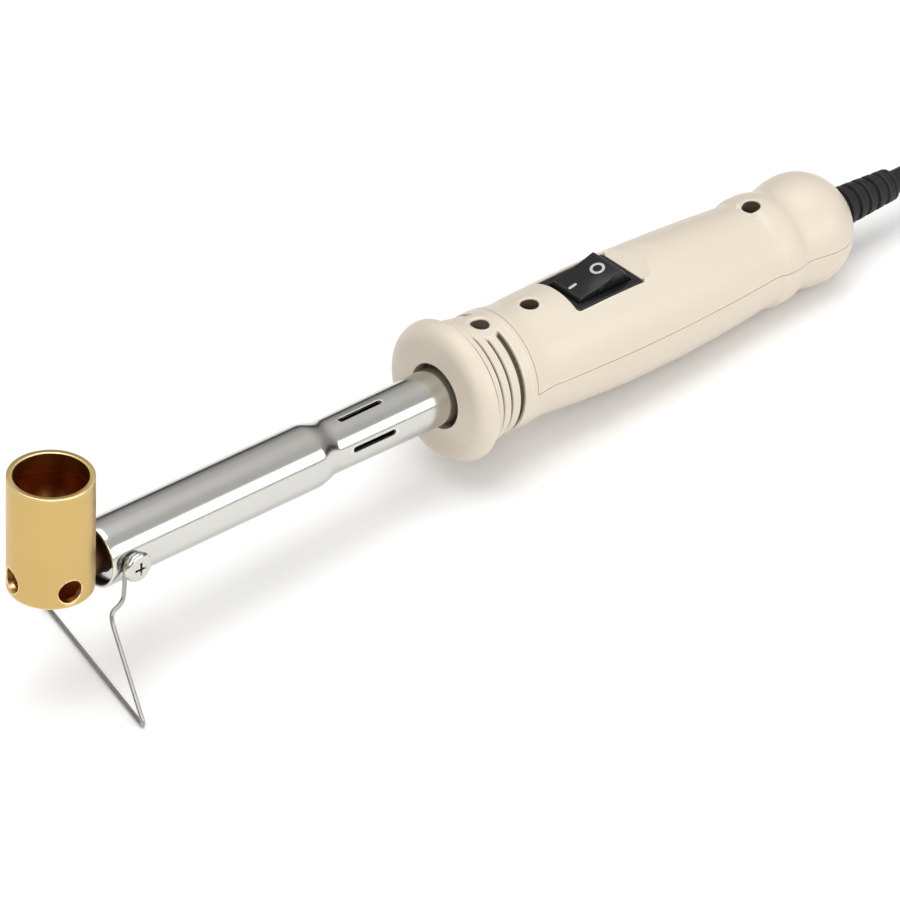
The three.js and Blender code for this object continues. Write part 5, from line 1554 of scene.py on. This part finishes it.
    def plug(self, shop: Workshop, end: Array) -> List[bpy.types.Object]:
        """Moulded plug on its broad side with ridged flanks, and its two round pins."""
        share = np.concatenate([[0, 0.006, 0.02], np.linspace(0.05, 0.94, 60), [0.975, 0.993, 1.0]])
        swell = smooth(share, 0.0, 0.58)
        ends = np.minimum(1.0, np.sqrt(np.clip(share / 0.03, 0, 1)) * 0.4 + 0.6)
        front = np.sqrt(np.clip((1 - share) / 0.06, 0, 1)) * 0.12 + 0.88
        close = np.minimum(ends, front)
        ridge = 0.55 * (0.5 - 0.5 * np.cos(2 * math.pi * (share - 0.26) / 0.07)) \
            * (share > 0.26) * (share < 0.61)
        widening = (self.plug_width - self.plug_tail) / 2 * swell
        half_y = (self.plug_tail / 2 + widening) * close - ridge
        half_z = (4.6 + (self.plug_thickness / 2 - 4.6) * smooth(share, 0.0, 0.5)) * close
        corner = np.minimum(half_z * 0.92, 5.2)
        loop = rounded_loop(half_y, half_z, corner, 96)
        back = end[0] - self.gap
        middle = np.array([end[1], self.hank_top + self.plug_thickness / 2])
        grid = np.stack([np.repeat((back - self.plug_length * share)[:, None], 96, 1),
                         loop[..., 0] + middle[0], loop[..., 1] + middle[1]], -1)
        body = shop.fitted(solid("plug_moulding", grid * MM), RUBBER, "root",
                           ["plug_body"], laid_out=False)
        face = back - self.plug_length - self.gap
        turn = quarter_turn(8)
        tip = np.c_[17.6 + 1.4 * np.sin(turn), 2.0 * np.cos(turn) ** 0.8]
        profile = np.concatenate([[[0, 0], [0, 1.9], [0.1, 2.0], [10.0, 2.0], [10.1, 1.94],
                                   [10.3, 1.94], [10.4, 2.0]], tip])
        profile[-1, 1] = 0
        pieces = [body]
        for name, node, side in (("pin_left", "plug_pin_left", -1),
                                 ("pin_right", "plug_pin_right", 1)):
            pin = turned_grid(profile, 40)
            pin[..., 0] = face - pin[..., 0]
            pin[..., 1] += middle[0] + side * self.pin_offset
            pin[..., 2] += middle[1]
            pieces.append(shop.fitted(solid(name, pin * MM), NICKEL, "root", [node],
                                      laid_out=False))
        return pieces

    def build(self, shop: Workshop) -> None:
        path = self.route(shop)
        LOG.info("cord route: %.4f m", np.linalg.norm(np.diff(path, axis=0), axis=1).sum() * MM)
        cord = solid("mains_cord", swept_grid(path, np.full(len(path), self.radius), 18) * MM)
        shop.fitted(cord, CORD_SKIN, "root", ["cord_run", "cord_coil", "cord_tail"],
                    laid_out=False)
        foot = self.exit_point(shop)
        pieces = [self.strap(shop, foot), *self.plug(shop, path[-1])]


# ---------------------------------------------------------------- inner works
class InnerWorks:
    """The carried-over nodes inside the tool, each with its own finish."""

    finishes: Dict[str, Finish] = {
        "tip_clamp_ring": NICKEL, "heater_core": CERAMIC, "heater_winding": WINDING,
        "mica_sleeve": MICA, "heater_end_cap": CERAMIC, "heat_bush": FIBRE, "collar_screw": ZINC,
        "cover_screw_front": ZINC, "cover_screw_rear": ZINC, "rocker_pin": ZINC,
        "switch_terminal_front": INNER_BRASS, "switch_terminal_rear": INNER_BRASS,
        "terminal_block": CERAMIC, "terminal_screw_front": ZINC, "terminal_screw_rear": ZINC,
        "heater_lead_live": BROWN, "heater_lead_neutral": BLUE, "conductor_live": BROWN,
        "conductor_neutral": BLUE, "inner_cord": CORD_SKIN, "cord_clamp_bar": FIBRE,
        "clamp_screw_near": ZINC, "clamp_screw_far": ZINC,
    }

    def build(self, shop: Workshop) -> None:
        """Dresses every node that isn't replaced."""
        for name, finish in self.finishes.items():
            node = frame["nodes"][name]
            node.data.materials.clear()
            node.data.materials.append(shop.material(finish))
            LOG.info("%s: %s", name, finish.name)


# ---------------------------------------------------------------- studio
@dataclass
class Studio:
    """Pale floor, soft lights and the camera.

    The room that the pieces reflect is shaded by height, as (height, shade) stops, while the
    camera sees it plain white. A lamp is its name, place, aim, size and power.
    """

    azimuth: float = math.radians(47.3253)
    elevation: float = math.radians(34.4818)
    roll: float = math.radians(2.2805)
    shift: Tuple[float, float] = (-8.5977, 10.4014)
    distance: float = 1800.0
    target: Tuple[float, float, float] = (110.0, 0.0, 0.0)
    lens: float = 304.95
    sensor: float = 36.0
    shades: Tuple[Tuple[float, float], ...] = (
        (0.03, 0.06), (0.16, 0.05), (0.30, 0.34), (0.62, 0.62))
    lamps: Tuple[tuple, ...] = (
        ("overhead", (0.0, 0.1, 1.5), (0, 0, 0), (1.6, 1.2), 13.5),
        ("window", (-0.9, -0.9, 0.8), (0, 0, 0.02), (0.7, 0.7), 5.5),
        ("strip", (0.4, -1.1, 0.42), (0, 0, 0.02), (1.2, 0.6), 6.0))

    def camera(self, shop: Workshop) -> None:
        """Aims the camera: back is the way from tool to camera, and the roll turns the others."""
        flat = math.cos(self.elevation)
        back = np.array([-flat * math.cos(self.azimuth), -flat * math.sin(self.azimuth),
                         math.sin(self.elevation)])
        right = np.cross(UPRIGHT, back)
        right /= np.linalg.norm(right)
        up = np.cross(back, right)
        side = math.cos(self.roll) * right + math.sin(self.roll) * up
        head = -math.sin(self.roll) * right + math.cos(self.roll) * up
        place = (np.array(self.target) + back * self.distance - side * self.shift[0]
                 - head * self.shift[1])
        turned = np.eye(4)
        turned[:3, :3] = shop.layout.turned(np.array([side, head, back])).T
        turned[:3, 3] = shop.layout.placed(place)
        data = bpy.data.cameras.new("camera")
        data.lens, data.sensor_width, data.sensor_fit = self.lens, self.sensor, "HORIZONTAL"
        data.clip_start, data.clip_end = 0.05, 30.0
        camera = bpy.data.objects.new("camera", data)
        bpy.context.scene.collection.objects.link(camera)
        camera.matrix_world = Matrix(turned.tolist())
        bpy.context.scene.camera = camera

    @staticmethod
    def floor() -> None:
        """Wide pale floor, level with the bench."""
        mesh = bpy.data.meshes.new("floor")
        mesh.from_pydata([(-9, -9, 0), (9, -9, 0), (9, 9, 0), (-9, 9, 0)], [], [(0, 1, 2, 3)])
        floor = linked("floor", mesh)
        material = bpy.data.materials.new("floor_paper")
        material.use_nodes = True
        shader = material.node_tree.nodes["Principled BSDF"]
        shader.inputs["Base Color"].default_value = (0.93, 0.93, 0.93, 1)
        shader.inputs["Roughness"].default_value = 0.9
        shader.inputs["Specular IOR Level"].default_value = 0.1
        mesh.materials.append(material)

    @staticmethod
    def area(name: str, place: Tuple[float, float, float], aim: Tuple[float, float, float],
             size: Tuple[float, float], power: float) -> None:
        """Rectangular soft light."""
        data = bpy.data.lights.new(name, "AREA")
        data.shape, data.size, data.size_y, data.energy = "RECTANGLE", *size, power
        light = bpy.data.objects.new(name, data)
        bpy.context.scene.collection.objects.link(light)
        back = np.array(place) - np.array(aim)
        back /= np.linalg.norm(back)
        right = np.cross(UPRIGHT, back) if abs(back[2]) < 0.99 else np.array([1.0, 0, 0])
        right /= np.linalg.norm(right)
        turned = np.eye(4)
        turned[:3, :3] = np.array([right, np.cross(back, right), back]).T
        turned[:3, 3] = place
        light.matrix_world = Matrix(turned.tolist())

    def build(self, shop: Workshop) -> None:
        """Sets up the camera, the floor, the lights and the pale surroundings."""
        self.camera(shop)
        self.floor()
        scene = bpy.context.scene
        scene.view_settings.view_transform = "Standard"
        world = bpy.data.worlds.new("pale_room")
        world.use_nodes = True
        board = Board(world.node_tree)
        way = board.add("ShaderNodeTexCoord").outputs["Generated"]
        height = board.add("ShaderNodeSeparateXYZ", Vector=way).outputs["Z"]
        ramp = board.add("ShaderNodeValToRGB", Fac=height)
        ramp.color_ramp.interpolation = "EASE"
        stops = ramp.color_ramp.elements
        stops[0].position, stops[0].color = 0.0, (0.55, 0.55, 0.54, 1)
        stops[1].position, stops[1].color = 1.0, (0.85, 0.85, 0.85, 1)
        for place, shade in self.shades:
            stop = stops.new(place)
            stop.color = (shade, shade, shade * 0.98, 1)
        seen = board.add("ShaderNodeLightPath").outputs["Is Camera Ray"]
        colour = board.blend(seen, ramp.outputs["Color"], (1.0, 1.0, 1.0))
        world.node_tree.links.new(colour, world.node_tree.nodes["Background"].inputs["Color"])
        scene.world = world
        for lamp in self.lamps:
            self.area(*lamp)


def main() -> None:
    """Builds the studio and every sub-assembly in order."""
    logging.basicConfig(level=logging.INFO, format="%(name)s %(message)s")
    layout = Layout.from_joints(frame["joints"], TipScrews.x)
    shop = Workshop(layout, Effects())
    parts = [Studio(), MainsLead(), CordBoot(), CupHead(), Barrel(), TipScrews(), WireStand(),
             Grip(), RockerSwitch(), InnerWorks()]
    for part in parts:
        part.build(shop)
    bpy.context.view_layer.update()


if __name__ == "__main__":
    main()
